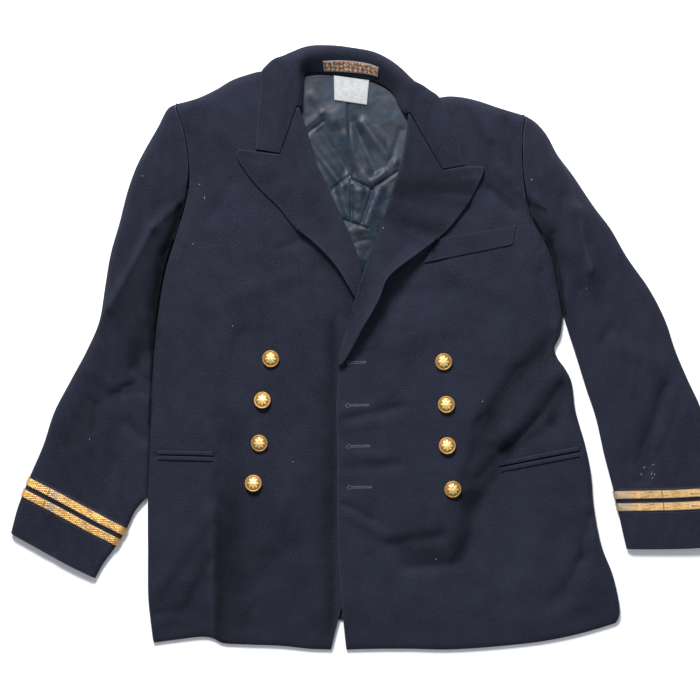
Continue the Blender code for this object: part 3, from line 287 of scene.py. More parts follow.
# Folds: a line from start to end, its soft width to each side, and its height, below 0 in a
# trough. Left and right are as seen going from start to end.
FOLD_COLUMNS = "x0 y0 x1 y1 left right height"
RIGHT_FOLDS = table(
    FOLD_COLUMNS,
    (-163, -10, -161, 185, 34, 8, 6.3),
    (-146, 20, -140, 230, 10, 16, -3.6),
    (-135, 250, -128, 420, 14, 18, -1.8),
    (-170, 175, -238, 70, 12, 14, 3.6),
    (-176, 100, -236, 25, 10, 12, 2.7),
    (-72, 210, -108, 70, 26, 26, 2.1),
    (30, 425, -44, 545, 18, 8, -4.5),
    (-128, 90, -106, 25, 9, 9, -2.4),
)
LEFT_FOLDS = table(
    FOLD_COLUMNS,
    (290, 372, 224, 292, 15, 12, 5.4),
    (224, 292, 186, 214, 14, 12, 4.8),
    (300, 345, 284, 303, 9, 9, -3.6),
    (284, 303, 226, 262, 8, 10, -3.4),
    (226, 262, 184, 200, 9, 11, -2.4),
    (240, 372, 192, 290, 12, 14, -2.4),
    (176, 205, 184, 120, 13, 13, -2.7),
    (88, 118, 172, 134, 12, 12, -2.1),
    (342, 185, 326, 60, 12, 10, 3.9),
    (296, 165, 290, 66, 16, 16, -2.4),
    (178, 722, 228, 630, 12, 12, 3.3),
    (34, 408, 116, 526, 8, 22, -5),
    (200, 616, 246, 578, 12, 12, -2.7),
)
RIGHT_SLEEVE_FOLDS = table(
    FOLD_COLUMNS,
    (-208, 584, -224, 525, 10, 15, -13),
    (-226, 515, -243, 430, 10, 16, -13),
    (-214, 566, -302, 452, 20, 22, 5.4),
    (-300, 338, -254, 352, 9, 9, -4.5),
    (-322, 400, -370, 300, 16, 18, 2.4),
    (-330, 260, -300, 200, 16, 16, 2.1),
)
LEFT_SLEEVE_FOLDS = table(
    FOLD_COLUMNS,
    (254, 590, 280, 535, 8, 9, -6),
    (290, 642, 319, 579, 14, 22, 4.5),
    (319, 579, 340, 500, 14, 22, 4.5),
    (258, 590, 277, 545, 8, 8, 3),
    (438, 348, 404, 246, 10, 10, -4.2),
    (420, 372, 380, 270, 16, 16, 2.7),
    (462, 330, 440, 240, 16, 16, 2.4),
)

# How high the sleeves lie, by the share of the way from armhole to cuff
SLEEVE_LOFT = table("along z", (0, 15), (0.15, 13), (0.35, 10.5), (0.6, 9), (1, 7.6))

# Lapels: the free outer edge from the break point to the peak, then the top edge and gorge seam
RIGHT_LAPEL_EDGE = table(
    "x y lift",
    (43, 412, 0.2), (35, 439, 0.2), (24, 464, 3), (13, 484, 6.5), (1, 504, 8), (-15, 524, 7.5),
    (-36, 544, 5), (-59, 563, 2.8), (-79, 588, 1.2), (-97, 605, 1), (-115, 625, 1), (-131, 648, 1),
    (-135, 658, 1), (-132, 665, 1),
)
RIGHT_LAPEL_TOP = table("x y", (-53.8, 721.3), (-76.8, 657.6))
RIGHT_LAPEL_PEAK = table("x y", (-76.8, 657.6), (-110, 661.6), (-132, 665))
LEFT_LAPEL_EDGE = table(
    "x y lift",
    (0, 374, 1), (8, 382, 3.5), (23, 408, 9), (33, 428, 13), (44, 446, 16), (55, 467, 17),
    (65, 492, 16), (80, 507, 14), (98, 520, 10.5), (126, 541, 4), (145, 557, 2.4), (160, 575, 1.6),
    (174, 595, 1.4), (186, 617, 1.8), (193, 634, 2.4), (193, 642, 2.4),
)
LEFT_LAPEL_TOP = table("x y", (94.6, 712.4), (138.6, 636.6))
LEFT_LAPEL_PEAK = table("x y", (138.6, 636.6), (168, 641.6), (193, 642))
RIGHT_LAPEL_FOLDS = table(FOLD_COLUMNS, (-60, 566, -20, 596, 8, 8, -1.2))
LEFT_LAPEL_FOLDS = table(
    FOLD_COLUMNS,
    (84, 617, 176, 612, 11, 11, -2.0),
    (74, 580, 134, 560, 9, 9, -2.0),
    (86, 598, 160, 590, 12, 12, 1.6),
)

# Collar sections, from the wearer's right gorge seam round the neck to the left one. Each goes
# from the neck seam up the stand to the crest, then out and down the leaf to its free edge. A
# section with corner 1 has a sharp corner at mid, where the gorge seam ends in the notch.
COLLAR_COLUMNS = (
    "seam_x seam_y seam_z crest_x crest_y crest_z mid_x mid_y mid_z edge_x edge_y edge_z corner"
)
COLLAR = table(
    COLLAR_COLUMNS,
    (-48, 722, 13, -54.7, 721.7, 22, -77.2, 659, 10, -109, 664, 10, 1),
    (-48, 738, 11, -56, 741, 23, -84, 716, 12, -107, 702, 10, 0),
    (-47, 752, 9, -57, 757, 24, -83, 751, 14, -103, 737, 10, 0),
    (-46, 762, 7, -56, 771, 24.5, -84, 780, 19, -99, 770, 11, 0),
    (-43, 768, 5.6, -51, 781, 25, -71, 788, 16, -72, 780, 2.4, 0),
    (-32, 769, 5, -37, 790, 25.5, -44, 799, 13, -40, 780, 1.8, 0),
    (-8, 767, 4.8, -10, 793, 25.5, -12, 800.5, 12, -12, 778, 1.8, 0),
    (18, 763, 4.8, 18, 791, 25.5, 18, 797, 12, 17, 776, 1.8, 0),
    (44, 758, 4.8, 46, 784, 25.5, 50, 791, 12, 44, 771, 1.8, 0),
    (64, 749, 5, 69, 770, 25.5, 77.5, 775.5, 14, 67, 762, 1.8, 0),
    (75, 738, 6, 83, 754.5, 25, 100, 754.5, 18, 96.5, 747, 4, 0),
    (80, 727, 8, 91, 741, 24, 111, 745.5, 20, 129, 737, 10, 0),
    (85, 718, 10, 94, 727, 23, 120, 718, 12, 145, 712, 10, 0),
    (88, 714, 12, 95, 719, 22.5, 126, 693, 11, 157, 682, 10, 0),
    (90, 712, 13, 95.6, 713, 22, 139, 638, 10, 168, 643, 10, 1),
)

# The back and what shows inside the neck
BACK_HEM = table("x y", (-246, 24), (-120, 29), (5, 38.5), (150, 34), (280, 35), (370, 52))
BACK_NECK = table(
    "x y",
    (-101, 762), (-70, 766), (-46, 770), (-20, 769.5), (18, 765), (50, 759.5), (72, 749.5), (100, 739),
    (132, 732),
)
LINING_SIDE_RIGHT = table(
    "x y",
    (16, 492), (-8, 540), (-34, 590), (-52, 640), (-58, 690), (-58, 735), (-46, 762),
)
LINING_SIDE_LEFT = table(
    "x y",
    (48, 492), (60, 540), (78, 590), (94, 640), (100, 690), (92, 716), (76, 736),
)
LINING_NECK = table("x y", (-46, 762), (-20, 764.5), (18, 760), (46, 754.5), (66, 744.5), (76, 736))
LINING_LOFT = table("y z", (492, 5), (540, 5), (640, 4.6), (720, 4), (765, 3.6))
# Trims on the fronts, by their corners in plan: the start and end of the lower line, then the end
# and start of the upper one. The woven label's are shares along the collar and up its stand.
WELT = ((113, 514), (231, 538), (236, 563), (133, 545.5))
RIGHT_JETS = {
    "right_pocket_upper_jet": ((-240, 259.8), (-166, 258), (-166, 263.5), (-240, 265.3)),
    "right_pocket_lower_jet": ((-240, 252.5), (-166, 250.5), (-166, 256), (-240, 258)),
}
LEFT_JETS = {
    "left_pocket_upper_jet": ((214, 243.8), (321, 265), (320, 270.5), (213, 249.3)),
    "left_pocket_lower_jet": ((216, 236.5), (322, 257), (321.5, 262.7), (215, 242)),
}
BUTTONS = table(
    "x y tilt_x tilt_y",
    (-89, 387, 6, -5),
    (-100, 331, -9, -8),
    (-104, 275, 7, -7),
    (-112, 221, -5, -5),
    (140, 383, 4, 4),
    (144, 326, 2, -3),
    (145, 271, -3, 2),
    (152, 214, 6, 5),
)
WOVEN_LABEL = ((0.40, 0.1), (0.60, 0.28), (0.60, 0.72), (0.40, 0.55))
FABRIC_PATCH = ((-5, 731), (38.5, 724.5), (41.5, 757.5), (-5.5, 764))
# Buttonholes in the left front, from the keyhole end to the other
BUTTONHOLES = table(
    "x0 y0 x1 y1",
    (13, 381, 36, 382),
    (11, 324.5, 40, 325),
    (12.5, 270, 41.5, 270.5),
    (13, 215.5, 44, 216),
)
# Pale scraps: x and y, length, and the direction in degrees
SCRAPS = table(
    "x y length turn",
    (408, 242, 3.2, 70),
    (419, 246, 3.0, 30),
    (404, 233, 3.4, 120),
    (417, 234, 5.0, 80),
    (421, 233, 3.0, 60),
    (418, 228, 2.8, 20),
    (-259, 629, 2.6, 10),
    (-177, 600, 3.0, 80),
    (-192, 539, 2.6, 40),
    (-184, 618, 2.4, 150),
    (257, 624, 3.4, 60),
    (192, 330, 2.8, 20),
    (-140, 430, 2.0, 100),
    (130, 120, 2.4, 20),
    (-60, 250, 2.0, 160),
    (60, 560, 2.2, 45),
    (330, 480, 2.2, 110),
    (-330, 280, 2.4, 70),
    (15, 628, 4, 84),
)


# Fine folds and creases of the cloth, beside the large ones that the solids have too
RIGHT_CREASES = table(
    FOLD_COLUMNS,
    (-98, 437, -101, 312, 10, 12, -2),
    (-130, 412, -154, 306, 16, 12, -3.8),
    (-154, 306, -155, 200, 12, 9, -6.3),
    (-155, 200, -136, 27, 10, 16, -7.4),
    (-70, 200, -97, 120, 10, 16, 3.4),
    (-97, 120, -118, 40, 12, 12, -5.1),
    (-163, 173, -236, 66, 9, 9, -3.2),
    (-168, 120, -200, 60, 6, 7, -3.4),
    (-196, 52, -240, 46, 7, 7, -2.8),
    (-118, 60, -150, 10, 6, 9, 4.1),
    (-92, 552, -99, 425, 3, 3, -1.4),
    (-135, 470, -60, 500, 12, 14, 2.5),
    (-158, 300, -160, 240, 5, 9, 3.8),
    (-30, 500, 6, 380, 16, 12, -3.8),
    (-10, 300, 8, 150, 14, 10, -2.5),
    (-185, 600, -215, 520, 12, 12, 2.8),
    (-150, 690, -100, 640, 16, 16, 2.2),
    (-140, 620, -170, 570, 9, 9, -1.7),
    (-60, 540, -78, 533, 5, 5, -2.2),
)
LEFT_CREASES = table(
    FOLD_COLUMNS,
    (9, 306, 82, 322, 7, 8, -4.2),
    (9, 262, 60, 256, 8, 9, 2.5),
    (9, 241, 78, 246, 7, 7, -2.2),
    (9, 193, 44, 172, 6, 6, -4.2),
    (14, 182, 66, 150, 6, 7, 2.5),
    (284, 412, 244, 366, 8, 10, -4.5),
    (244, 366, 194, 299, 8, 10, -5.4),
    (194, 299, 173, 226, 8, 9, -6),
    (173, 226, 177, 186, 8, 8, -4.5),
    (296, 352, 268, 306, 6, 7, -4.5),
    (268, 306, 222, 266, 6, 7, -5.1),
    (222, 266, 186, 226, 6, 7, -4.5),
    (255, 359, 202, 279, 8, 7, 4.2),
    (202, 279, 175, 226, 7, 6, 3.8),
    (182, 200, 182, 146, 8, 8, -4.8),
    (182, 146, 160, 118, 8, 8, -4.2),
    (72, 139, 136, 150, 9, 9, -4.5),
    (90, 108, 150, 112, 8, 8, -4.1),
    (120, 160, 150, 205, 12, 12, 2.5),
    (336, 176, 326, 120, 6, 7, -5.1),
    (326, 120, 295, 66, 8, 8, -3.8),
    (340, 150, 352, 80, 7, 7, 3.4),
    (240, 90, 250, 30, 14, 14, 2.5),
    (150, 60, 160, 10, 12, 12, 2),
    (170, 735, 202, 680, 9, 9, 3.8),
    (202, 612, 232, 583, 6, 7, -3.8),
    (214, 640, 238, 610, 6, 6, 2.5),
    (225, 700, 233, 640, 7, 8, -2.2),
    (70, 470, 130, 480, 16, 20, -2.8),
    (150, 505, 220, 470, 14, 14, 2.2),
    (240, 520, 262, 440, 12, 12, 3.2),
    (268, 500, 284, 440, 8, 8, -2.5),
    (60, 400, 130, 430, 20, 18, 2.8),
)
RIGHT_SLEEVE_CREASES = table(
    FOLD_COLUMNS,
    (-206, 598, -245, 561, 2.6, 3.4, 1.8),
    (-245, 561, -304, 455, 2.6, 3.4, 2),
    (-206, 598, -245, 561, 9, 8, 4.5),
    (-245, 561, -304, 455, 8, 7, 5.1),
    (-283, 346, -243, 353, 6, 7, -6.3),
    (-321, 326, -323, 293, 5, 6, -4.1),
    (-280, 300, -262, 280, 9, 9, -4.1),
    (-270, 372, -252, 340, 7, 7, -4.5),
    (-330, 372, -300, 350, 9, 9, 2.2),
    (-335, 330, -360, 270, 8, 8, -2.5),
    (-380, 172, -376, 132, 5, 6, -3.8),
    (-300, 250, -318, 190, 10, 10, -2.5),
    (-232, 700, -222, 640, 8, 8, -2),
    (-248, 660, -236, 600, 8, 8, 2.2),
)
LEFT_SLEEVE_CREASES = table(
    FOLD_COLUMNS,
    (291, 652, 315, 585, 2.6, 3.4, 1.8),
    (315, 585, 335, 505, 2.6, 3.4, 1.5),
    (291, 652, 315, 585, 6, 9, 4.2),
    (315, 585, 335, 505, 6, 9, 4.8),
    (255, 592, 275, 545, 5, 5, -4.8),
    (262, 600, 284, 560, 5, 5, 3.8),
    (335, 479, 368, 424, 13, 13, -2.8),
    (362, 426, 352, 408, 8, 8, -3.4),
    (435, 346, 402, 239, 6, 7, -1.6),
    (448, 352, 420, 262, 7, 7, 2.8),
    (418, 262, 402, 224, 7, 7, -4.1),
    (380, 400, 430, 380, 10, 10, 2),
    (300, 600, 290, 540, 9, 9, -2.8),
    (330, 540, 322, 480, 7, 8, -2.5),
    (392, 330, 384, 250, 9, 9, -2),
    (250, 690, 262, 640, 7, 7, -1.7),
)
RIGHT_LAPEL_CREASES = table(
    FOLD_COLUMNS,
    (-128, 654, -68, 647, 5, 5, -1.7),
    (-124, 642, -34, 532, 4, 5, -1),
    (-40, 578, -6, 612, 6, 7, -2.5),
    (-76, 612, -28, 640, 9, 9, 1.4),
    (-15, 545, 8, 560, 7, 7, 1.4),
)
LEFT_LAPEL_CREASES = table(
    FOLD_COLUMNS,
    (88, 622, 178, 610, 5, 7, -4.4),
    (82, 606, 172, 596, 7, 6, 2.5),
    (70, 583, 136, 558, 5, 7, -3.9),
    (64, 570, 120, 540, 6, 5, 2.1),
    (182, 632, 130, 626, 5, 5, -1.3),
    (40, 534, 64, 519, 8, 8, -1.7),
    (110, 680, 124, 632, 9, 9, 1.7),
)
BACK_CREASES = table(
    FOLD_COLUMNS,
    (-190, 560, -120, 420, 22, 16, 2.6),
    (-150, 300, -120, 120, 20, 14, 2.2),
    (220, 540, 160, 380, 18, 22, 2.8),
    (250, 260, 230, 90, 16, 20, 2.2),
    (60, 650, 160, 600, 14, 18, 1.6),
    (-60, 640, -150, 640, 14, 18, 1.4),
    (38, 690, 38, 60, 2.4, 2.4, 1.1),
    (-40, 330, 10, 200, 16, 22, 1.6),
    (120, 220, 90, 120, 18, 14, 1.6),
)
# Painted shade and painted light on the wool: darker in troughs, hollows and where the cloth turns from the
# light, lighter along lit ridges; like the folds, with a share
PAINTED_SHADE_AND_LIGHT = table(
    FOLD_COLUMNS,
    (-90, 330, -84, 150, 60, 60, -0.13),
    (-200, 690, -120, 640, 50, 50, -0.12),
    (-104, 500, -104, 440, 60, 50, -0.07),
    (-80, 610, -30, 585, 30, 30, -0.08),
    (100, 610, 150, 590, 40, 40, -0.05),
    (-75, 775, -66, 670, 22, 22, -0.1),
    (90, 720, 120, 650, 22, 22, -0.06),
    (-203, 200, -203, 60, 40, 28, -0.07),
    (60, 60, 240, 80, 60, 50, 0.1),
    (-142, 300, -128, 40, 16, 18, -0.15),
    (-208, 586, -217, 556, 1, 6, -1.4),
    (-220, 545, -229, 512, 1, 10, -1.4),
    (-232, 502, -239, 458, 1, 9, -1.4),
    (-240, 450, -246, 400, 1, 5, -1.3),
    (-246, 392, -250, 300, 1, 2.5, -1.1),
    (-246, 425, -270, 385, 9, 16, -0.4),
    (253, 594, 276, 583, 1.6, 1.6, -1),
    (256, 579, 272, 553, 2, 1, -1.1),
    (276, 546, 284, 524, 6, 1, -1.4),
    (287, 515, 293, 488, 4.5, 1, -1.4),
    (294, 480, 300, 446, 3.5, 1, -1.3),
    (280, 560, 300, 520, 12, 12, -0.3),
    (-161, 190, -163, -5, 24, 2.5, -0.35),
    (-166, 190, -168, 0, 2, 6, 0.12),
    (-245, 561, -304, 455, 2.6, 2.6, 0.3),
    (315, 585, 335, 505, 2.6, 2.6, 0.25),
    (-4, 430, -7, 30, 2, 15, -0.35),
    (-150, 150, -225, 40, 12, 16, -0.15),
    (270, 400, 205, 310, 14, 14, -0.3),
    (205, 310, 172, 200, 14, 14, -0.36),
    (300, 345, 284, 303, 8, 8, -0.25),
    (284, 303, 226, 262, 7, 9, -0.3),
    (226, 262, 184, 200, 8, 10, -0.3),
    (176, 190, 158, 125, 12, 12, -0.32),
    (90, 135, 150, 120, 22, 14, -0.28),
    (80, 612, 176, 612, 12, 14, -0.4),
    (64, 576, 134, 556, 14, 10, -0.36),
    (70, 640, 150, 650, 30, 30, -0.12),
    (20, 450, 60, 520, 20, 20, -0.1),
    (-262, 600, -310, 380, 46, 46, -0.18),
    (-340, 300, -370, 180, 50, 50, -0.17),
    (-55, 290, -72, 200, 18, 18, 0.12),
    (250, 120, 260, 60, 60, 60, 0.06),
)
LINING_CREASES = table(
    FOLD_COLUMNS,
    (14, 728, 17, 622, 2.2, 1.8, -2.2),
    (-40, 676, 6, 617, 6, 6, 4.4),
    (-24, 690, 14, 634, 8, 6, -4.4),
    (-6, 714, 8, 690, 10, 10, 3.4),
    (12, 680, 36, 628, 9, 9, 3.6),
    (22, 702, 49, 636, 6, 6, -3),
    (32, 700, 64, 660, 7, 8, 3.4),
    (-42, 686, -20, 703, 1.8, 2.4, -3),
    (-44, 695, -22, 713, 4, 4, 3),
    (-36, 738, -8, 702, 7, 7, 2.6),
    (66, 640, 84, 690, 5, 6, -3),
    (16, 626, 45, 612, 2.2, 2.2, -3.5),
    (45, 612, 80, 636, 2.2, 2.2, -3.5),
    (46, 622, 76, 646, 5, 5, 4),
    (16, 630, -6, 614, 2.2, 2.2, -3),
    (3, 609, 13, 578, 6, 6, 3.4),
    (30, 609, 24, 572, 6, 6, 3.4),
    (56, 612, 38, 565, 6, 6, 3.4),
    (18, 616, 18, 572, 2, 2, -2.6),
    (45, 608, 32, 568, 2, 2, -2.6),
    (-34, 650, 6, 560, 6, 6, 3),
    (4, 572, 40, 560, 2, 2, -2.4),
    (20, 555, 30, 505, 8, 8, 2.6),
    (2, 555, 22, 520, 7, 7, 2.2),
)
SLIT_WIDTH = 2.6
RIGHT_SLIT = table(FOLD_COLUMNS, (-241, 258.5, -165, 257.5, SLIT_WIDTH, SLIT_WIDTH, -3.0))
LEFT_SLIT = table(FOLD_COLUMNS, (214.5, 242.8, 320.5, 263.5, SLIT_WIDTH, SLIT_WIDTH, -3.0))


def joined(*tables: Table) -> Table:
    """Some tables with the same columns, one after another."""
    return {name: np.concatenate([rows[name] for rows in tables]) for name in tables[0]}


@dataclass
class Line:
    """A line through named columns of points, of which the first two are x and y."""

    names: list[str]
    points: np.ndarray
    along: np.ndarray = field(init=False)
    length: float = field(init=False)

    def __post_init__(self) -> None:
        """Measures the line."""
        self.measure()

    def measure(self) -> None:
        """Works out how far along the line each of its points is."""
        steps = np.linalg.norm(np.diff(self.points[:, :2], axis=0), axis=1)
        self.along = np.concatenate([[0.0], np.cumsum(steps)])
        self.length = float(self.along[-1])

    @classmethod
    def smooth(cls, rows: Table, steps: int = 8) -> "Line":
        """A smooth line through a table's rows, with so many steps between two knots."""
        return cls(list(rows), catmull_rom(np.array(list(rows.values())).T, steps))

    @classmethod
    def through(cls, points: np.ndarray) -> "Line":
        """A line straight through plan points."""
        return cls(["x", "y"], np.array(points, float)[:, :2])

    def joined(self, other: "Line") -> "Line":
        """This line with the next one added at its end."""
        added = np.column_stack([other.column(name) for name in self.names])
        return Line(self.names, np.vstack([self.points, added[1:]]))

    def reversed(self) -> "Line":
        """The same line from its end to its start."""
        return Line(self.names, self.points[::-1].copy())

    def inset(self, side: int, by: str = "inset", sign: int = 1, extra: float = 0.0) -> "Line":
        """Moves the line sideways by a column's distances.

        Args:
            side: 1 moves it to the left of its own direction and -1 to the right.
            by: The column with the distances.
            sign: Multiplies those distances.
            extra: Is added to each of them.

        Returns:
            The moved line.
        """
        line = Line(self.names, self.points.copy())
        ahead = np.gradient(self.points[:, :2], axis=0)
        ahead /= np.linalg.norm(ahead, axis=1)[:, None]
        sideways = np.column_stack([-ahead[:, 1], ahead[:, 0]])
        line.points[:, :2] += side * sideways * (sign * self.column(by) + extra)[:, None]
        line.measure()
        return line

    def pin(self, start: np.ndarray, end: np.ndarray) -> None:
        """Moves the line's two ends to these points."""
        self.points[0, :2] = start[:2]
        self.points[-1, :2] = end[:2]
        self.measure()

    def column(self, name: str) -> np.ndarray:
        """One named column of the line's points."""
        return self.points[:, self.names.index(name)]

    def at(self, share: np.ndarray | float) -> np.ndarray:
        """Plan points at these shares of the length."""
        where = np.asarray(share, float) * self.length
        return np.stack([np.interp(where, self.along, self.points[:, k]) for k in (0, 1)], axis=-1)

    def nearest(self, x: np.ndarray, y: np.ndarray) -> tuple[np.ndarray, np.ndarray, np.ndarray]:
        """Looks for the line's nearest place to each point.

        Args:
            x: The points' x.
            y: The points' y.

        Returns:
            The distance, and the line's edge and roll there.
        """
        points = np.stack([np.ravel(x), np.ravel(y)], axis=1)
        best_gap = np.full(len(points), np.inf)
        best_edge = np.full(len(points), HEM["edge"])
        best_roll = np.full(len(points), HEM["roll"])
        rolled = "edge" in self.names
        for start, end in zip(self.points[:-1], self.points[1:]):
            step = end[:2] - start[:2]
            away = points - start[:2]
            share = np.clip(away @ step / (step @ step), 0, 1)
            gap = np.hypot(*(away - share[:, None] * step).T)
            closer = gap < best_gap
            best_gap = np.where(closer, gap, best_gap)
            if rolled:
                mixed = start + share[:, None] * (end - start)
                best_edge = np.where(closer, mixed[:, self.names.index("edge")], best_edge)
                best_roll = np.where(closer, mixed[:, self.names.index("roll")], best_roll)
        shape = np.shape(x)
        return best_gap.reshape(shape), best_edge.reshape(shape), best_roll.reshape(shape)


def catmull_rom(knots: np.ndarray, steps: int) -> np.ndarray:
    """A centripetal Catmull-Rom curve.

    Args:
        knots: Rows whose first two columns are x and y.
        steps: Steps between two knots.

    Returns:
        The rows of the curve, with all of the knots' columns.
    """
    first, last = 2 * knots[0] - knots[1], 2 * knots[-1] - knots[-2]
    ring = np.vstack([first, knots, last])
    gaps = np.linalg.norm(np.diff(ring[:, :2], axis=0), axis=1)
    times = np.concatenate([[0.0], np.cumsum(np.sqrt(np.maximum(gaps, 1e-6)))])
    found = []
    for k in range(1, len(ring) - 2):
        t0, t1, t2, t3 = times[k - 1 : k + 3]
        p0, p1, p2, p3 = ring[k - 1 : k + 3]
        t = np.linspace(t1, t2, steps + 1)[:-1, None]
        a1 = (t1 - t) / (t1 - t0) * p0 + (t - t0) / (t1 - t0) * p1
        a2 = (t2 - t) / (t2 - t1) * p1 + (t - t1) / (t2 - t1) * p2
        a3 = (t3 - t) / (t3 - t2) * p2 + (t - t2) / (t3 - t2) * p3
        b1 = (t2 - t) / (t2 - t0) * a1 + (t - t0) / (t2 - t0) * a2
        b2 = (t3 - t) / (t3 - t1) * a2 + (t - t1) / (t3 - t1) * a3
        found.append((t2 - t) / (t2 - t1) * b1 + (t - t1) / (t2 - t1) * b2)
    return np.vstack([*found, knots[-1:]])


def bent(points: np.ndarray, steps: int) -> np.ndarray:
    """A smooth curve through a few points in space.

    Args:
        points: The points.
        steps: Steps between two of them.

    Returns:
        The curve's points.
    """
    ring = np.vstack([2 * points[0] - points[1], points, 2 * points[-1] - points[-2]])
    found = []
    for k in range(1, len(ring) - 2):
        p0, p1, p2, p3 = ring[k - 1 : k + 3]
        t = np.linspace(0, 1, steps + 1)[:-1, None]
        square = 2 * p0 - 5 * p1 + 4 * p2 - p3
        cube = 3 * p1 - p0 - 3 * p2 + p3
        found.append(p1 + 0.5 * ((p2 - p0) * t + square * t**2 + cube * t**3))
    return np.vstack([*found, points[-1:]])


def straight(points: np.ndarray, steps: int) -> np.ndarray:
    """Straight runs through a few points in space, with the same steps in each."""
    share = np.linspace(0, 1, steps + 1)[:-1, None]
    return np.vstack([*(a + (b - a) * share for a, b in zip(points, points[1:])), points[-1:]])


def coons(sides: Sequence[Line], s: np.ndarray, t: np.ndarray) -> np.ndarray:
    """A Coons patch in plan.

    Args:
        sides: The near and far sides, which run along t, then the start and end, across s.
        s: Shares across, from the near side to the far one.
        t: Shares along.

    Returns:
        The plan points.
    """
    near, far, start, end = sides
    across, along = s[..., None], t[..., None]
    ruled = (1 - across) * near.at(t) + across * far.at(t)
    ruled = ruled + (1 - along) * start.at(s) + along * end.at(s)
    corners = (
        (1 - across) * (1 - along) * near.at(0.0)
        + across * (1 - along) * far.at(0.0)
        + (1 - across) * along * near.at(1.0)
        + across * along * far.at(1.0)
    )
    return ruled - corners


def shares(length: float, cell: float, start: float = 0.0, end: float = 0.0) -> np.ndarray:
    """Shares from 0 to 1, closer together over the rolled ends.

    Args:
        length: The length that is shared out.
        cell: The largest step.
        start: How long the rolled start is.
        end: How long the rolled end is.

    Returns:
        The shares in order.
    """
    turn = 1 - np.cos(np.radians([0, 20, 36, 52, 68, 80, 90]))
    head = turn * start if start else np.array([0.0])
    tail = length - turn[::-1] * end if end else np.array([length])
    count = max(2, math.ceil((tail[0] - head[-1]) / cell))
    middle = np.linspace(head[-1], tail[0], count + 1)[1:-1]
    return np.concatenate([head, middle, tail]) / length


def folds(rows: Table, x: np.ndarray, y: np.ndarray) -> np.ndarray:
    """Height of a table's folds.

    Args:
        rows: The folds.
        x: The points' x.
        y: The points' y.

    Returns:
        The height at each point.
    """
    height = np.zeros(np.shape(x))
    for x0, y0, x1, y1, left, right, peak in zip(*rows.values()):
        step_x, step_y = x1 - x0, y1 - y0
        share = np.clip(((x - x0) * step_x + (y - y0) * step_y) / (step_x**2 + step_y**2), 0, 1)
        off_x, off_y = x - x0 - share * step_x, y - y0 - share * step_y
        width = np.where(step_x * off_y - step_y * off_x > 0, left, right)
        height += peak * np.exp(-(off_x**2 + off_y**2) / width**2)
    return height


def mounds(rows: Table, x: np.ndarray, y: np.ndarray) -> np.ndarray:
    """Height of a table's mounds at each point."""
    height = np.zeros(np.shape(x))
    for middle_x, middle_y, across, along, peak in zip(*rows.values()):
        height += peak * np.exp(-(((x - middle_x) / across) ** 2) - ((y - middle_y) / along) ** 2)
    return height


def uneven(x: np.ndarray, y: np.ndarray, size: float, seed: int) -> np.ndarray:
    """Soft uneven heights.

    Args:
        x: The points' x.
        y: The points' y.
        size: How long a stretch has one rise or dip.
        seed: Sets which ones.

    Returns:
        Heights from -1 to 1.
    """
    count = 64
    knots = np.random.default_rng(seed).uniform(-1, 1, (count, count))
    turned_x, turned_y = 0.8 * x + 0.6 * y, 0.8 * y - 0.6 * x
    u, v = turned_x / size, turned_y / size
    low_u, low_v = np.floor(u).astype(int), np.floor(v).astype(int)
    fade_u, fade_v = (part * part * (3 - 2 * part) for part in (u - low_u, v - low_v))
    a, b = knots[low_u % count, low_v % count], knots[(low_u + 1) % count, low_v % count]
    c, d = knots[low_u % count, (low_v + 1) % count], knots[(low_u + 1) % count, (low_v + 1) % count]
    return (a * (1 - fade_u) + b * fade_u) * (1 - fade_v) + (c * (1 - fade_u) + d * fade_u) * fade_v


def puffed(x: np.ndarray, y: np.ndarray, size: float, seed: int) -> np.ndarray:
    """Domes that meet in sharp creases.

    Args:
        x: The points' x.
        y: The points' y.
        size: About how wide each dome is.
        seed: Sets where they are.

    Returns:
        Heights from about 0 to 1.
    """
    count = 32
    places = np.random.default_rng(seed).uniform(0.1, 0.9, (count, count, 3))
    u, v = x / size, y / size
    low_u, low_v = np.floor(u).astype(int), np.floor(v).astype(int)
    height = np.full(np.shape(x), -np.inf)
    for step_u in (-1, 0, 1):
        for step_v in (-1, 0, 1):
            column, row = low_u + step_u, low_v + step_v
            knot = places[column % count, row % count]
            off = (u - column - knot[..., 0]) ** 2 + (v - row - knot[..., 1]) ** 2
            height = np.maximum(height, 0.6 + 0.5 * knot[..., 2] - 0.9 * off)
    return height


def rumpled(x: np.ndarray, y: np.ndarray, seed: int, height: float = 1.0) -> np.ndarray:
    """The slight unevenness of worn wool that has been laid down by hand."""
    large = 0.75 * uneven(x, y, 62, seed) + 0.4 * uneven(x, y, 29, seed + 1)
    return height * (large + 0.16 * uneven(x, y, 11, seed + 2))


def grid_normals(grid: Grid) -> Grid:
    """Unit normals of a grid of points, on the side that faces up."""
    normal = np.cross(np.gradient(grid, axis=1), np.gradient(grid, axis=0))
    normal /= np.maximum(np.linalg.norm(normal, axis=2), 1e-9)[..., None]
    return normal * (1 if normal[..., 2].mean() > 0 else -1)


def widened(values: np.ndarray, reach: int, choose: Callable[..., np.ndarray]) -> np.ndarray:
    """Replaces each value by the highest, or the mean, of itself and its neighbours.

    Args:
        values: A map of values.
        reach: How many times this is done.
        choose: Takes the highest or the mean.

    Returns:
        The new map.
    """
    for _ in range(reach):
        for axis in (0, 1):
            padded = np.pad(values, [(1, 1) if k == axis else (0, 0) for k in (0, 1)], mode="edge")
            count = values.shape[axis]
            beside = [padded.take(range(first, first + count), axis) for first in (0, 1, 2)]
            values = choose(np.stack(beside), axis=0)
    return values


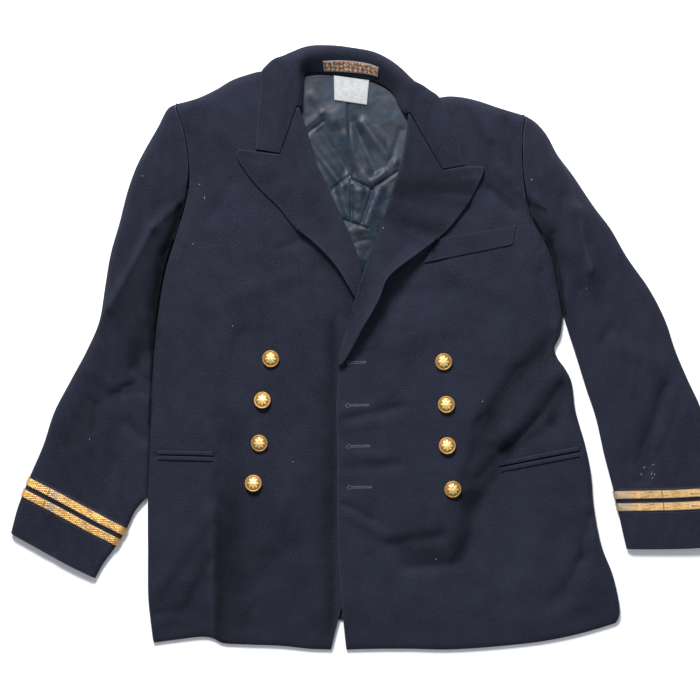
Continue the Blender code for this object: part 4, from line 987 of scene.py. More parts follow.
@dataclass
class Panel:
    """A front or a sleeve's top: a plan patch, a height over it, and edges that roll down."""

    sides: Sequence[Line]
    loft: Height
    rolled: Sequence[Line]

    def height(self, x: np.ndarray, y: np.ndarray) -> np.ndarray:
        """Height of the sheet's middle.

        Args:
            x: The plan points' x.
            y: Their y.

        Returns:
            The height at each point.
        """
        top = self.loft(x, y)
        low = top
        for line in self.rolled:
            distance, edge, roll = line.nearest(x, y)
            edge = np.minimum(edge, top)
            share = 1 - np.clip(distance / roll, 0, 1)
            low = np.minimum(low, edge + (top - edge) * np.sqrt(1 - share**2))
        return low

    def grid(self, s: np.ndarray, t: np.ndarray) -> Grid:
        """The sheet's points at shares across and along."""
        s, t = np.meshgrid(s, t)
        plan = coons(self.sides, s, t)
        return np.dstack([plan, self.height(plan[..., 0], plan[..., 1])])

    def raised(self, x: np.ndarray, y: np.ndarray, rise: np.ndarray | float) -> Grid:
        """Points straight above the sheet's middle.

        Args:
            x: The plan points' x.
            y: Their y.
            rise: How far above, measured across the sheet.

        Returns:
            The points.
        """
        height = self.height(x, y)
        slope_x = self.height(x + 1, y) - height
        slope_y = self.height(x, y + 1) - height
        slant = np.minimum(np.sqrt(1 + slope_x**2 + slope_y**2), 1.6)
        return np.stack([x, y, height + rise * slant], axis=-1)


class Pile:
    """The top of all the cloth laid so far, as a map of heights that the next piece clears."""

    STEP = 1.2
    LOW = np.array([-460.0, -30.0])
    SIZE = (850, 730)
    SOFT = 2

    def __init__(self) -> None:
        """Starts with nothing laid."""
        self.top = np.full(self.SIZE, -np.inf)

    def cells(self, grid: Grid) -> np.ndarray:
        """Many points in each cell of a grid of points.

        Args:
            grid: The grid's points.

        Returns:
            The points, by cell.
        """
        largest = max(np.linalg.norm(np.diff(grid, axis=k), axis=2).max() for k in (0, 1))
        share = np.linspace(0, 1, min(12, math.ceil(largest / self.STEP) + 2))
        u, v = np.meshgrid(share, share)
        u, v = u[None, None, ..., None], v[None, None, ..., None]
        a, b, c, d = grid[:-1, :-1], grid[:-1, 1:], grid[1:, :-1], grid[1:, 1:]
        a, b, c, d = (corner[:, :, None, None] for corner in (a, b, c, d))
        return a * (1 - u) * (1 - v) + b * u * (1 - v) + c * (1 - u) * v + d * u * v

    def places(self, points: np.ndarray) -> tuple[np.ndarray, ...]:
        """Where points fall in the map."""
        index = np.rint((points[..., :2] - self.LOW) / self.STEP).astype(int)
        return tuple(np.clip(index[..., k], 0, self.SIZE[k] - 1) for k in (0, 1))

    def lay(self, grid: Grid, wall: float) -> None:
        """Adds a sheet's top face."""
        points = self.cells(grid + grid_normals(grid) * wall / 2)
        np.maximum.at(self.top, self.places(points), points[..., 2])

    def spread(self) -> np.ndarray:
        """The map with each height carried over to the places beside it."""
        return widened(self.top, 1, np.max)

    def clear(self, grid: Grid, wall: float, gap: float) -> Grid:
        """Raises a sheet where it needs to be raised, in a soft slope.

        Args:
            grid: The sheet's points.
            wall: Its thickness.
            gap: What it keeps to the map.

        Returns:
            The grid with each point high enough to clear the map by the gap.
        """
        under = grid - grid_normals(grid) * wall / 2
        drop = grid[..., 2] - under[..., 2]
        needed = self.spread()[self.places(self.cells(under))].max(axis=(2, 3)) + gap
        padded = np.full((grid.shape[0] + 1, grid.shape[1] + 1), -np.inf)
        padded[1:-1, 1:-1] = needed
        corners = np.stack([padded[:-1, :-1], padded[:-1, 1:], padded[1:, :-1], padded[1:, 1:]])
        lift = np.maximum(corners.max(axis=0) + drop - grid[..., 2], 0)
        lift = widened(widened(lift, self.SOFT, np.max), self.SOFT, np.mean)
        cleared = grid.copy()
        cleared[..., 2] += lift
        return cleared


def linear(code: str) -> tuple[float, float, float, float]:
    """An sRGB hex colour as linear light, with alpha 1."""
    parts = [int(code[k : k + 2], 16) / 255 for k in (1, 3, 5)]
    light = [c / 12.92 if c <= 0.04045 else ((c + 0.055) / 1.055) ** 2.4 for c in parts]
    return light[0], light[1], light[2], 1.0


def feed(node: Node, inputs: dict) -> None:
    """Sets or links a node's inputs.

    Args:
        node: The node.
        inputs: Values and other nodes' outputs, by the input's name or place.
    """
    for key, value in inputs.items():
        if isinstance(value, Socket):
            node.id_data.links.new(value, node.inputs[key])
        else:
            node.inputs[key].default_value = value


def add(tree: Tree, kind: str, inputs: dict | None = None, **settings: object) -> Node:
    """Adds a node to a material.

    Args:
        tree: The material's nodes.
        kind: The node's type after ShaderNode.
        inputs: Values and other nodes' outputs, by the input's name or place.
        settings: The node's own settings.

    Returns:
        The node.
    """
    made = tree.nodes.new(f"ShaderNode{kind}")
    for name, value in settings.items():
        setattr(made, name, value)
    feed(made, inputs or {})
    return made


class Finish:
    """A material of the jacket. Each kind fills in how its shader is dressed."""

    slot: str
    roughness: float = 0.9
    metallic: float = 0.0

    def dress(self, tree: Tree, shader: Node) -> None:
        """Adds the finish's own nodes in front of the shader.

        Args:
            tree: The material's nodes.
            shader: Its Principled BSDF.
        """
        raise NotImplementedError

    def material(self) -> bpy.types.Material:
        """The finish as a material, made once."""
        name = type(self).__name__
        if name in bpy.data.materials:
            return bpy.data.materials[name]
        made = bpy.data.materials.new(name)
        made.use_nodes = True
        shader = made.node_tree.nodes["Principled BSDF"]
        feed(shader, {"Roughness": self.roughness, "Metallic": self.metallic})
        self.dress(made.node_tree, shader)
        return made


def flat_place(tree: Tree) -> tuple[Socket, Socket]:
    """Where a point is on its cut piece, in millimetres, and how far it is from the edge."""
    place = add(tree, "Attribute", attribute_name="cloth")
    parts = add(tree, "SeparateXYZ", {0: place.outputs["Vector"]})
    flat = add(tree, "CombineXYZ", {"X": parts.outputs["X"], "Y": parts.outputs["Y"]})
    return flat.outputs[0], parts.outputs["Z"]


def object_place(tree: Tree) -> Socket:
    """Where a point is on its object, in millimetres."""
    place = add(tree, "TexCoord").outputs["Object"]
    return add(tree, "VectorMath", {0: place, 1: (1 / MM,) * 3}, operation="MULTIPLY").outputs[0]


def apart(tree: Tree, value: Socket, place: float) -> Socket:
    """How far a value is from a place."""
    difference = add(tree, "Math", {0: value, 1: place}, operation="SUBTRACT")
    return add(tree, "Math", {0: difference.outputs[0]}, operation="ABSOLUTE").outputs[0]


def bands(tree: Tree, place: Socket, period: float, angle: float) -> Socket:
    """Waves from -1 to 1 across the cloth.

    Args:
        tree: The material's nodes.
        place: Where each point is, in millimetres.
        period: Millimetres from one wave to the next.
        angle: The direction that the waves follow each other in, in degrees.

    Returns:
        The waves' height.
    """
    turn = math.tau / period
    along = (turn * math.cos(math.radians(angle)), turn * math.sin(math.radians(angle)), 0.0)
    phase = add(tree, "VectorMath", {0: place, 1: along}, operation="DOT_PRODUCT")
    return add(tree, "Math", {0: phase.outputs["Value"]}, operation="SINE").outputs[0]


def grain(tree: Tree, place: Socket, size: float, low: float, high: float) -> Socket:
    """Uneven grain of about this size in millimetres, from 0 at the low level to 1 at the high one."""
    noise = add(tree, "TexNoise", {"Vector": place, "Scale": 1 / size, "Detail": 3.0, "Roughness": 0.6})
    spread = add(tree, "MapRange", {"Value": noise.outputs[0], "From Min": low, "From Max": high})
    return spread.outputs[0]


def mixed(tree: Tree, share: Socket, first: Socket | str, second: Socket | str) -> Socket:
    """Mixes two colours.

    Args:
        tree: The material's nodes.
        share: The second one's share, from 0 to 1.
        first: A colour, as an output or an sRGB hex code.
        second: The other colour.

    Returns:
        The mixed colour.
    """
    first, second = (linear(one) if isinstance(one, str) else one for one in (first, second))
    return add(tree, "Mix", {"Factor": share, 6: first, 7: second}, data_type="RGBA").outputs[2]


def level(
    tree: Tree, value: Socket, at_start: float, at_end: float, start: float = 0.0, end: float = 1.0
) -> Socket:
    """Brings a value from one range to another.

    Args:
        tree: The material's nodes.
        value: The value.
        at_start: What it becomes at the range's start.
        at_end: What it becomes at the range's end.
        start: The range's start.
        end: The range's end.

    Returns:
        The new value.
    """
    inputs = {"Value": value, "From Min": start, "From Max": end, "To Min": at_start, "To Max": at_end}
    return add(tree, "MapRange", inputs).outputs[0]


def summed(tree: Tree, *weighted: tuple[Socket, float]) -> Socket:
    """Some values added up by their weights."""
    total: object = 0.0
    for value, weight in weighted:
        total = add(tree, "Math", {0: value, 1: weight, 2: total}, operation="MULTIPLY_ADD").outputs[0]
    return total


def bumped(tree: Tree, shader: Node, height: Socket, depth: float) -> None:
    """Gives the shader a relief whose height runs from 0 to 1 over this depth in millimetres."""
    bump = add(tree, "Bump", {"Height": height, "Distance": depth * MM, "Strength": 1.0})
    feed(shader, {"Normal": bump.outputs[0]})


@dataclass(frozen=True)
class WoolSerge(Finish):
    """Navy wool serge, woven from worsted and milled, as a service jacket's outer cloth."""

    slot: str = "wool"
    roughness: float = 0.93
    dark: str = "#0b0c14"
    light: str = "#2d303e"
    fibre: str = "#9699a6"
    # Painted shade: the near-black colour of the deepest hollows
    hollow: str = "#020207"
    # A serge has a twill of about 0.7 mm and fibres far finer. The render shows 1.3 mm at the
    # least, so both are drawn that coarse.
    twill: float = 2.8
    twill_angle: float = 63.0
    nap: float = 1.7
    lint: float = 1.5

    def dress(self, tree: Tree, shader: Node) -> None:
        """The eye sees a dead matt dark blue with a speckled nap, a faint twill and lighter worn edges, over
        painted shade in troughs and hollows and painted highlights along some ridges.

        Args:
            tree: The material's nodes.
            shader: Its Principled BSDF.
        """
        place, edge = flat_place(tree)
        twill = bands(tree, place, self.twill, self.twill_angle)
        nap = grain(tree, place, self.nap, 0.3, 0.7)
        patches = grain(tree, place, 26.0, 0.3, 0.7)
        fades = grain(tree, place, 110.0, 0.3, 0.7)
        # Painted shade and painted light, read from the attribute named nap and added to the speckle
        painted_shade_and_light = add(tree, "Attribute", attribute_name="nap").outputs["Fac"]
        speckle_and_painted_shade = summed(tree, (nap, 0.72), (patches, 0.2), (twill, 0.03), (painted_shade_and_light, 1.0))
        cloth = mixed(tree, speckle_and_painted_shade, self.dark, self.light)
        faded = mixed(tree, level(tree, fades, 0.0, 0.22), cloth, self.light)
        rubbed = mixed(tree, level(tree, edge, 0.1, 0.0, 0.0, 3.0), faded, "#4d5062")
        # Painted shade: where the painted shade runs deepest the cloth turns near black, as deep hollows look
        # darker than the shallow relief shows
        painted_hollow_shade = mixed(tree, level(tree, painted_shade_and_light, 0.96, 0.0, -0.95, -0.5), rubbed, self.hollow)
        specks = grain(tree, place, self.lint, 0.735, 0.79)
        colour = mixed(tree, level(tree, specks, 0.0, 0.55), painted_hollow_shade, self.fibre)
        feed(shader, {"Base Color": colour, "Specular IOR Level": 0.12})
        feed(shader, {"Sheen Weight": 0.06, "Sheen Roughness": 0.5, "Sheen Tint": linear("#aab0d0")})
        bumped(tree, shader, summed(tree, (nap, 0.75), (twill, 0.05), (patches, 0.3)), 0.6)


@dataclass(frozen=True)
class SatinLining(Finish):
    """Slate rayon satin, woven with long floats, as a jacket's body lining."""

    slot: str = "lining"
    roughness: float = 0.36
    shade: str = "#0b1018"
    face: str = "#212f3d"
    rib: float = 2.4

    def dress(self, tree: Tree, shader: Node) -> None:
        """The eye sees a smooth cool sheen that runs along each crease, over a very fine rib.

        Args:
            tree: The material's nodes.
            shader: Its Principled BSDF.
        """
        place, _ = flat_place(tree)
        rib = bands(tree, place, self.rib, 0.0)
        cloudy = grain(tree, place, 18.0, 0.3, 0.7)
        colour = mixed(tree, cloudy, self.shade, self.face)
        feed(shader, {"Base Color": colour, "Roughness": level(tree, cloudy, 0.6, 0.5)})
        feed(shader, {"Anisotropic": 0.3, "Specular IOR Level": 0.35})
        feed(shader, {"Sheen Weight": 0.06, "Sheen Tint": linear("#c4d2e6")})
        bumped(tree, shader, summed(tree, (rib, 0.04), (cloudy, 0.5)), 0.3)


@dataclass(frozen=True)
class GoldLace(Finish):
    """Gold wire lace, woven round a silk core, as rank stripes."""

    slot: str = "lace"
    roughness: float = 0.42
    gold: str = "#d39a49"
    pale: str = "#e4bb76"
    tarnish: str = "#5d5348"
    grey: str = "#8f8f8a"
    join: float = 37.0
    greyed: float = 47.0
    greyed_reach: float = 8.0
    wire: float = 2.3

    def dress(self, tree: Tree, shader: Node) -> None:
        """The eye sees fine slanting ribs of gold, dulled to grey where the gilding has gone.

        Args:
            tree: The material's nodes.
            shader: Its Principled BSDF.
        """
        place, edge = flat_place(tree)
        weft = bands(tree, place, self.wire, 62.0)
        warp = bands(tree, place, self.wire, 118.0)
        basket = add(tree, "Math", {0: weft, 1: warp}, operation="MAXIMUM").outputs[0]
        streaks = add(tree, "VectorMath", {0: place, 1: (0.35, 1.6, 0.0)}, operation="MULTIPLY")
        worn = grain(tree, streaks.outputs[0], 6.5, 0.52, 0.66)
        bright = grain(tree, place, 3.2, 0.35, 0.65)
        metal = mixed(tree, bright, self.gold, self.pale)
        dull = mixed(tree, level(tree, worn, 0.0, 0.8), metal, self.tarnish)
        along = add(tree, "SeparateXYZ", {0: place}).outputs["X"]
        away, reach = apart(tree, along, self.greyed), self.greyed_reach
        greyed = mixed(tree, level(tree, away, 0.6, 0.0, reach - 5.0, reach), dull, self.grey)
        beside = level(tree, apart(tree, along, self.join), 0.8, 0.0, 0.5, 1.2)
        met = mixed(tree, beside, greyed, self.tarnish)
        lines = mixed(tree, level(tree, basket, 0.5, 0.0, -0.4, 0.5), met, self.tarnish)
        colour = mixed(tree, level(tree, edge, 0.6, 0.0, 0.0, 1.4), lines, self.tarnish)
        feed(shader, {"Base Color": colour, "Metallic": level(tree, worn, 0.75, 0.25)})
        feed(shader, {"Roughness": level(tree, worn, 0.38, 0.7)})
        bumped(tree, shader, summed(tree, (basket, 0.4), (bright, 0.3)), 0.45)


@dataclass(frozen=True)
class WornGoldLace(GoldLace):
    """The same lace on the other sleeve, paler, and greyed up to the inner seam."""

    gold: str = "#cb9a55"
    pale: str = "#e0c08a"
    grey: str = "#a59a8e"
    join: float = 82.0
    greyed: float = 148.0
    greyed_reach: float = 25.0


@dataclass(frozen=True)
class GiltBrass(Finish):
    """Stamped brass, fire gilt, as a uniform's buttons."""

    slot: str = "brass"
    roughness: float = 0.42
    metallic: float = 0.68
    gilt: str = "#ffdc90"
    hollow: str = "#96692b"

    def dress(self, tree: Tree, shader: Node) -> None:
        """The eye sees bright warm metal on all that stands out, and brown dirt in the hollows.

        Args:
            tree: The material's nodes.
            shader: Its Principled BSDF.
        """
        depth = add(tree, "Attribute", attribute_name="hollow").outputs["Fac"]
        dirt = grain(tree, object_place(tree), 2.2, 0.3, 0.75)
        inputs = {0: depth, 1: level(tree, dirt, 0.75, 1.15)}
        dark = add(tree, "Math", inputs, operation="MULTIPLY", use_clamp=True)
        colour = mixed(tree, dark.outputs[0], self.gilt, self.hollow)
        feed(shader, {"Base Color": colour, "Roughness": level(tree, dark.outputs[0], 0.42, 0.6)})
        bumped(tree, shader, dirt, 0.05)


@dataclass(frozen=True)
class CottonPatch(Finish):
    """Bleached cotton, plain woven, as a sewn-in patch."""

    slot: str = "patch"
    roughness: float = 0.9
    white: str = "#a6a8a5"
    grey: str = "#8d908f"
    thread: float = 2.0

    def dress(self, tree: Tree, shader: Node) -> None:
        """The eye sees a soft off-white with faint grey marks and a square weave.

        Args:
            tree: The material's nodes.
            shader: Its Principled BSDF.
        """
        place, edge = flat_place(tree)
        marks = grain(tree, place, 7.0, 0.42, 0.75)
        stains = mixed(tree, level(tree, marks, 0.0, 0.8), self.white, self.grey)
        colour = mixed(tree, level(tree, edge, 0.5, 0.0, 0.6, 2.0), stains, self.grey)
        feed(shader, {"Base Color": colour})
        weft, warp = (bands(tree, place, self.thread, angle) for angle in (0.0, 90.0))
        bumped(tree, shader, summed(tree, (weft, 0.2), (warp, 0.2), (marks, 0.6)), 0.3)


@dataclass(frozen=True)
class LabelTape(Finish):
    """Jacquard tape, woven in rust and gold silk on a dark ground, with no words."""

    slot: str = "label"
    roughness: float = 0.72
    ground: str = "#5c5550"
    rust: str = "#d8865a"
    gold: str = "#ecd6a8"
    repeat: float = 8.6

    def dress(self, tree: Tree, shader: Node) -> None:
        """The eye sees small rust lozenges and cream sprigs between grey selvedges, in shiny silk.

        Args:
            tree: The material's nodes.
            shader: Its Principled BSDF.
        """
        place, edge = flat_place(tree)
        one, other = bands(tree, place, self.repeat, 45.0), bands(tree, place, self.repeat, 135.0)
        lozenge = add(tree, "Math", {0: one, 1: other}, operation="MULTIPLY").outputs[0]
        filled = mixed(tree, level(tree, lozenge, 0.0, 1.0, 0.05, 0.3), self.ground, self.rust)
        sprigs = grain(tree, place, 3.4, 0.54, 0.6)
        figured = mixed(tree, sprigs, filled, self.gold)
        colour = mixed(tree, level(tree, edge, 1.0, 0.0, 0.9, 1.3), figured, "#85868a")
        fluff = grain(tree, place, 1.6, 0.3, 0.7)
        feed(shader, {"Base Color": mixed(tree, level(tree, fluff, 0.0, 0.35), colour, self.ground)})
        bumped(tree, shader, summed(tree, (lozenge, 0.3), (fluff, 0.4)), 0.3)


@dataclass(frozen=True)
class GreyTwist(Finish):
    """Grey buttonhole twist, a hard silk thread."""

    slot: str = "wool"
    roughness: float = 0.6
    colour: str = "#6d7182"

    def dress(self, tree: Tree, shader: Node) -> None:
        """The eye sees short strands, some of them duller than others.

        Args:
            tree: The material's nodes.
            shader: Its Principled BSDF.
        """
        strands = grain(tree, object_place(tree), 1.2, 0.3, 0.7)
        feed(shader, {"Base Color": mixed(tree, strands, self.colour, "#3c3f4d"), "Sheen Weight": 0.3})


@dataclass(frozen=True)
class PaleThread(Finish):
    """Undyed cotton thread and lint."""

    slot: str = "patch"
    roughness: float = 0.85
    colour: str = "#d9dade"

    def dress(self, tree: Tree, shader: Node) -> None:
        """The eye sees fluffy white specks.

        Args:
            tree: The material's nodes.
            shader: Its Principled BSDF.
        """
        fluff = grain(tree, object_place(tree), 0.8, 0.3, 0.7)
        feed(shader, {"Base Color": mixed(tree, fluff, self.colour, "#9fa2ab")})


def mesh_piece(name: str, points: np.ndarray, faces: list[list[int]], finish: Finish) -> bpy.types.Object:
    """Makes a smooth mesh from points in millimetres and rides it on the jacket.

    Args:
        name: The piece's name.
        points: Its points, in the tables' millimetres.
        faces: Its faces, as places in points.
        finish: What it is made of.

    Returns:
        The object.
    """
    mesh = bpy.data.meshes.new(name)
    mesh.from_pydata(((points - np.array(CENTRE)) * MM).tolist(), [], faces)
    mesh.validate()
    mesh.shade_smooth()
    mesh.materials.append(finish.material())
    piece = bpy.data.objects.new(name, mesh)
    bpy.context.scene.collection.objects.link(piece)
    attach(piece, "root")
    LOG.info("%s: %d faces", name, len(mesh.polygons))
    return piece


def keep(piece: bpy.types.Object, name: str, values: np.ndarray) -> None:
    """Keeps a number or a vector for each of a piece's points, for its material.

    Args:
        piece: The piece.
        name: What the material knows the values by.
        values: A number or a row of three for each point.
    """
    kind, key = ("FLOAT", "value") if values.ndim == 1 else ("FLOAT_VECTOR", "vector")
    kept = piece.data.attributes.new(name, kind, "POINT")
    kept.data.foreach_set(key, values.astype(np.float32).ravel())


@dataclass
class Cloth:
    """One cut piece of cloth: a grid of points on the middle of its wall, and what it is made of."""

    node: str
    grid: Grid
    wall: float
    finish: Finish
    rests_on: Sequence[str] = ()
    rim: int = 5
    fullness: float = 0.75

    def flat_places(self) -> np.ndarray:
        """Each point's place on the flat piece and its distance to the edge, in millimetres."""
        across = np.linalg.norm(np.diff(self.grid, axis=1), axis=2).cumsum(axis=1)
        along = np.linalg.norm(np.diff(self.grid, axis=0), axis=2).cumsum(axis=0)
        u = np.pad(across, ((0, 0), (1, 0)))
        v = np.pad(along, ((1, 0), (0, 0)))
        edge = np.minimum(np.minimum(u, u[:, -1:] - u), np.minimum(v, v[-1:] - v))
        return np.dstack([u, v, edge]).reshape(-1, 3)

    def shell(self) -> tuple[np.ndarray, list[list[int]], np.ndarray]:
        """The closed shell with its rounded edge, as points, quads and flat places."""
        rows, columns = self.grid.shape[:2]
        index = np.arange(rows * columns).reshape(rows, columns)
        normal, middle = grid_normals(self.grid).reshape(-1, 3), self.grid.reshape(-1, 3).copy()
        border = np.concatenate([index[0, :-1], index[:-1, -1], index[-1, :0:-1], index[:0:-1, 0]])
        row, column = border // columns, border % columns
        inward = index[np.clip(row, 1, rows - 2), np.clip(column, 1, columns - 2)]
        out = middle[border] - middle[inward]
        out -= normal[border] * (out * normal[border]).sum(axis=1)[:, None]
        out /= np.maximum(np.linalg.norm(out, axis=1), 1e-9)[:, None]
        half, bulge = self.wall / 2, self.wall / 2 * self.fullness
        middle[border] -= out * bulge
        rings = []
        for angle in np.linspace(math.pi / 2, -math.pi / 2, self.rim + 1)[1:-1]:
            ring = normal[border] * half * math.sin(angle) + out * bulge * math.cos(angle)
            rings.append(middle[border] + ring)
        points = np.vstack([middle + normal * half, middle - normal * half, *rings])
        count, around = rows * columns, len(border)
        a, b, c, d = index[:-1, :-1], index[:-1, 1:], index[1:, 1:], index[1:, :-1]
        top = np.stack([a, b, c, d], axis=-1).reshape(-1, 4)
        between = (2 * count + k * around + np.arange(around) for k in range(self.rim - 1))
        starts = [border, *between, border + count]
        sides = [
            np.stack([upper, lower, np.roll(lower, -1), np.roll(upper, -1)], axis=-1)
            for upper, lower in zip(starts, starts[1:])
        ]
        faces = np.vstack([top, top[:, ::-1] + count, *sides])
        raw = np.cross(self.grid[0, 1] - self.grid[0, 0], self.grid[1, 0] - self.grid[0, 0])
        if raw @ normal[0] < 0:
            faces = faces[:, ::-1]
        places = self.flat_places()
        return points, faces.tolist(), np.vstack([places, places, *[places[border]] * (self.rim - 1)])

    def sew(self) -> bpy.types.Object:
        """Returns:
            The piece.
        """
        points, faces, places = self.shell()
        piece = mesh_piece(f"{self.node}_cloth", points, faces, self.finish)
        keep(piece, "cloth", places)
        if isinstance(self.finish, WoolSerge):
            # The painted shade and painted light on the wool, kept as the attribute named nap
            keep(piece, "nap", folds(PAINTED_SHADE_AND_LIGHT, points[:, 0], points[:, 1]))
        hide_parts(self.node)
        length = np.linalg.norm(np.diff(self.grid, axis=0), axis=2).sum(axis=0).max() * MM
        width = np.linalg.norm(np.diff(self.grid, axis=1), axis=2).sum(axis=1).max() * MM
        return piece


@dataclass
class Front:
    """One front, from the shoulder to the hem, with its armhole, side and front edge."""

    side: Side
    edge: Table
    roll: Table
    hem: Table
    shoulder: Table
    armhole: Table
    beside: Table
    skirt: Table
    up: Table
    mound_rows: Table
    fold_rows: Table
    cell: float = 3.6
    unevenness: float = 1.5
    fade: float = 40.0
    fullness: float = 1.1
    side_roll: float = 9.0
    top_roll: float = 13.0

    def loft(self, x: np.ndarray, y: np.ndarray) -> np.ndarray:
        """How high the middle of the front lies.

        Args:
            x: The plan points' x.
            y: Their y.

        Returns:
            The height at each point.
        """
        order = np.argsort(self.hem["x"])
        up = y - np.interp(x, self.hem["x"][order], self.hem["y"][order])
        base = np.interp(up, self.up["up"], self.up["z"])
        extra = mounds(self.mound_rows, x, y) + folds(self.fold_rows, x, y)
        extra += rumpled(x, y, 7 + self.side.value, self.unevenness)
        return np.maximum(base + extra * np.clip(up / self.fade, 0, 1), LOWEST_FRONT)

    def panel(self) -> Panel:
        """The front as a panel between its own lines."""
        side = self.side.value
        inner = Line.smooth(self.edge).joined(Line.smooth(self.roll)).inset(-side)
        outer = Line.smooth(self.skirt).reversed().joined(Line.smooth(self.beside).reversed())
        outer = outer.joined(Line.smooth(self.armhole).reversed()).inset(side)
        top, bottom = Line.smooth(self.shoulder).inset(-side), Line.smooth(self.hem)
        top.pin(inner.points[-1], outer.points[-1])
        bottom.pin(inner.points[0], outer.points[0])
        return Panel((inner, outer, bottom, top), self.loft, (outer, top, bottom))

    def sew(self, pile: "Pile", under_collar: "Pile", panel: Panel) -> None:
        """Lays the front on the pile.

        Args:
            pile: All that lies under it.
            under_collar: Takes the front too, for the collar to lie on.
            panel: The front's own panel.
        """
        inner, outer, hem, top = panel.sides
        across = shares((hem.length + top.length) / 2 * self.fullness, self.cell, end=self.side_roll)
        length = (inner.length + outer.length) / 2
        along = shares(length, self.cell, start=HEM["roll"], end=self.top_roll)
        grid = pile.clear(panel.grid(across, along), OUTER_WALL, LAY_GAP)
        rests_on = ["back"] if self.side is Side.RIGHT else ["back", "right_front"]
        Cloth(f"{self.side.word}_front", grid, OUTER_WALL, WoolSerge(), rests_on).sew()
        pile.lay(grid, OUTER_WALL)
        under_collar.lay(grid, OUTER_WALL)


@dataclass
class Lapel:
    """A peaked lapel, turned over at the roll line and lying on its front."""

    side: Side
    roll: Table
    edge: Table
    gorge: Table
    peak: Table
    fold_rows: Table
    cell: float = 3.0
    across: float = 90.0
    tip: float = 0.012
    roll_width: float = 6.0
    roll_drop: float = 8.0
    roll_rise: float = 2.6
    roll_reach: float = 26.0
    allowance: float = 8.5
    groove: float = 0.55
    groove_width: float = 2.6
    unevenness: float = 0.35

    def grid(self, panel: Panel) -> Grid:
        """The lapel raised from its front, with its edge lifted and the seam allowance showing.

        Args:
            panel: The front.

        Returns:
            The lapel's points.
        """
        outer = Line.smooth(self.edge)
        end = Line.smooth(self.gorge).joined(Line.smooth(self.peak))
        inner = Line.smooth(self.roll)
        kept = inner.points[inner.points[:, 1] < self.gorge["y"][0], :2]
        inner = Line.through(np.vstack([kept, end.points[0]]))
        start = Line.through(np.array([inner.points[0, :2], outer.points[0, :2]]))
        corner = Line.smooth(self.gorge).length / end.length
        inside = shares(self.across * corner, self.cell, start=self.roll_width) * corner
        beyond = corner + shares(self.across * (1 - corner), self.cell)[1:] * (1 - corner)
        t = shares(outer.length, self.cell)
        t[0] = self.tip
        s, t = np.meshgrid(np.concatenate([inside, beyond]), t)
        plan = coons((inner, outer, start, end), s, t)
        x, y = plan[..., 0], plan[..., 1]
        from_roll = np.linalg.norm(plan - plan[:, :1], axis=2)
        from_edge = np.linalg.norm(plan - plan[:, -1:], axis=2)
        lift = np.interp(t * outer.length, outer.along, outer.column("lift")) * s**2
        rise = self.roll_rise * np.exp(-((from_roll / self.roll_reach) ** 2))
        groove = -self.groove * np.exp(-(((from_edge - self.allowance) / self.groove_width) ** 2))
        rumple = rumpled(x, y, 31 + self.side.value, self.unevenness)
        extra = folds(self.fold_rows, x, y) * s + groove + rumple * s
        return panel.raised(x, y, OUTER_WALL + LAY_GAP + np.maximum(lift + rise + extra, 0))

    def sew(self, pile: "Pile", panel: Panel) -> None:
        """Lays the lapel on its front and rolls its inner side down.

        Args:
            pile: All that lies under it.
            panel: The front that it belongs to.
        """
        grid = pile.clear(self.grid(panel), OUTER_WALL, LAY_GAP)
        from_roll = np.linalg.norm((grid - grid[:, :1])[..., :2], axis=2)
        share = 1 - np.clip(from_roll / self.roll_width, 0, 1)
        grid[..., 2] -= self.roll_drop * (1 - np.sqrt(1 - share**2))
        grid = pile.clear(grid, OUTER_WALL, SEAM_GAP)
        word = self.side.word
        Cloth(f"{word}_lapel", grid, OUTER_WALL, WoolSerge(), [f"{word}_front"]).sew()
        pile.lay(grid, OUTER_WALL)


@dataclass
class Collar:
    """The collar round the neck: its stand, its fold and its leaf."""

    sections: Table
    along: int = 11
    across: int = 11
    unevenness: float = 0.45
    allowance: float = 8.0
    groove: float = 0.5
    groove_width: float = 2.6

    def grid(self, fronts: "Pile") -> Grid:
        """The sections, smoothed round the neck, with the leaf clear above the fronts.

        Args:
            fronts: The two fronts.

        Returns:
            The collar's points.
        """
        names = list(self.sections)
        knots = np.array(list(self.sections.values())).T
        by_crest = [3, 4, *(k for k in range(len(names)) if k not in (3, 4))]
        smooth = catmull_rom(knots[:, by_crest], self.along)[:, np.argsort(by_crest)]
        grid = []
        for row in smooth:
            points = row[:12].reshape(4, 3)
            sharp = min(1.0, max(0.0, row[12]))
            stand, leaf = straight(points[:2], self.across), straight(points[1:], self.across)
            grid.append(sharp * np.vstack([stand, leaf[1:]]) + (1 - sharp) * bent(points, self.across))
        made = np.array(grid)
        leaf = slice(self.across + 1, None)
        share = np.linspace(0, 1, made.shape[1] - self.across - 1)
        ripple = rumpled(made[:, leaf, 0], made[:, leaf, 1], 51, self.unevenness) * np.sin(math.pi * share)
        from_edge = np.linalg.norm(made[:, leaf] - made[:, -1:], axis=2)
        seam = -self.groove * np.exp(-(((from_edge - self.allowance) / self.groove_width) ** 2))
        made[:, leaf, 2] += ripple + seam
        made[:, leaf] = fronts.clear(made, COLLAR_WALL, LAY_GAP)[:, leaf]
        return made

    def sew(self, fronts: "Pile") -> Grid:
        """Makes the collar.

        Args:
            fronts: The two fronts that its leaf lies on.

        Returns:
            The collar's grid, for what is sewn to its stand.
        """
        grid = self.grid(fronts)
        Cloth("collar", grid, COLLAR_WALL, WoolSerge(), ["right_front", "left_front", "back"]).sew()
        return grid


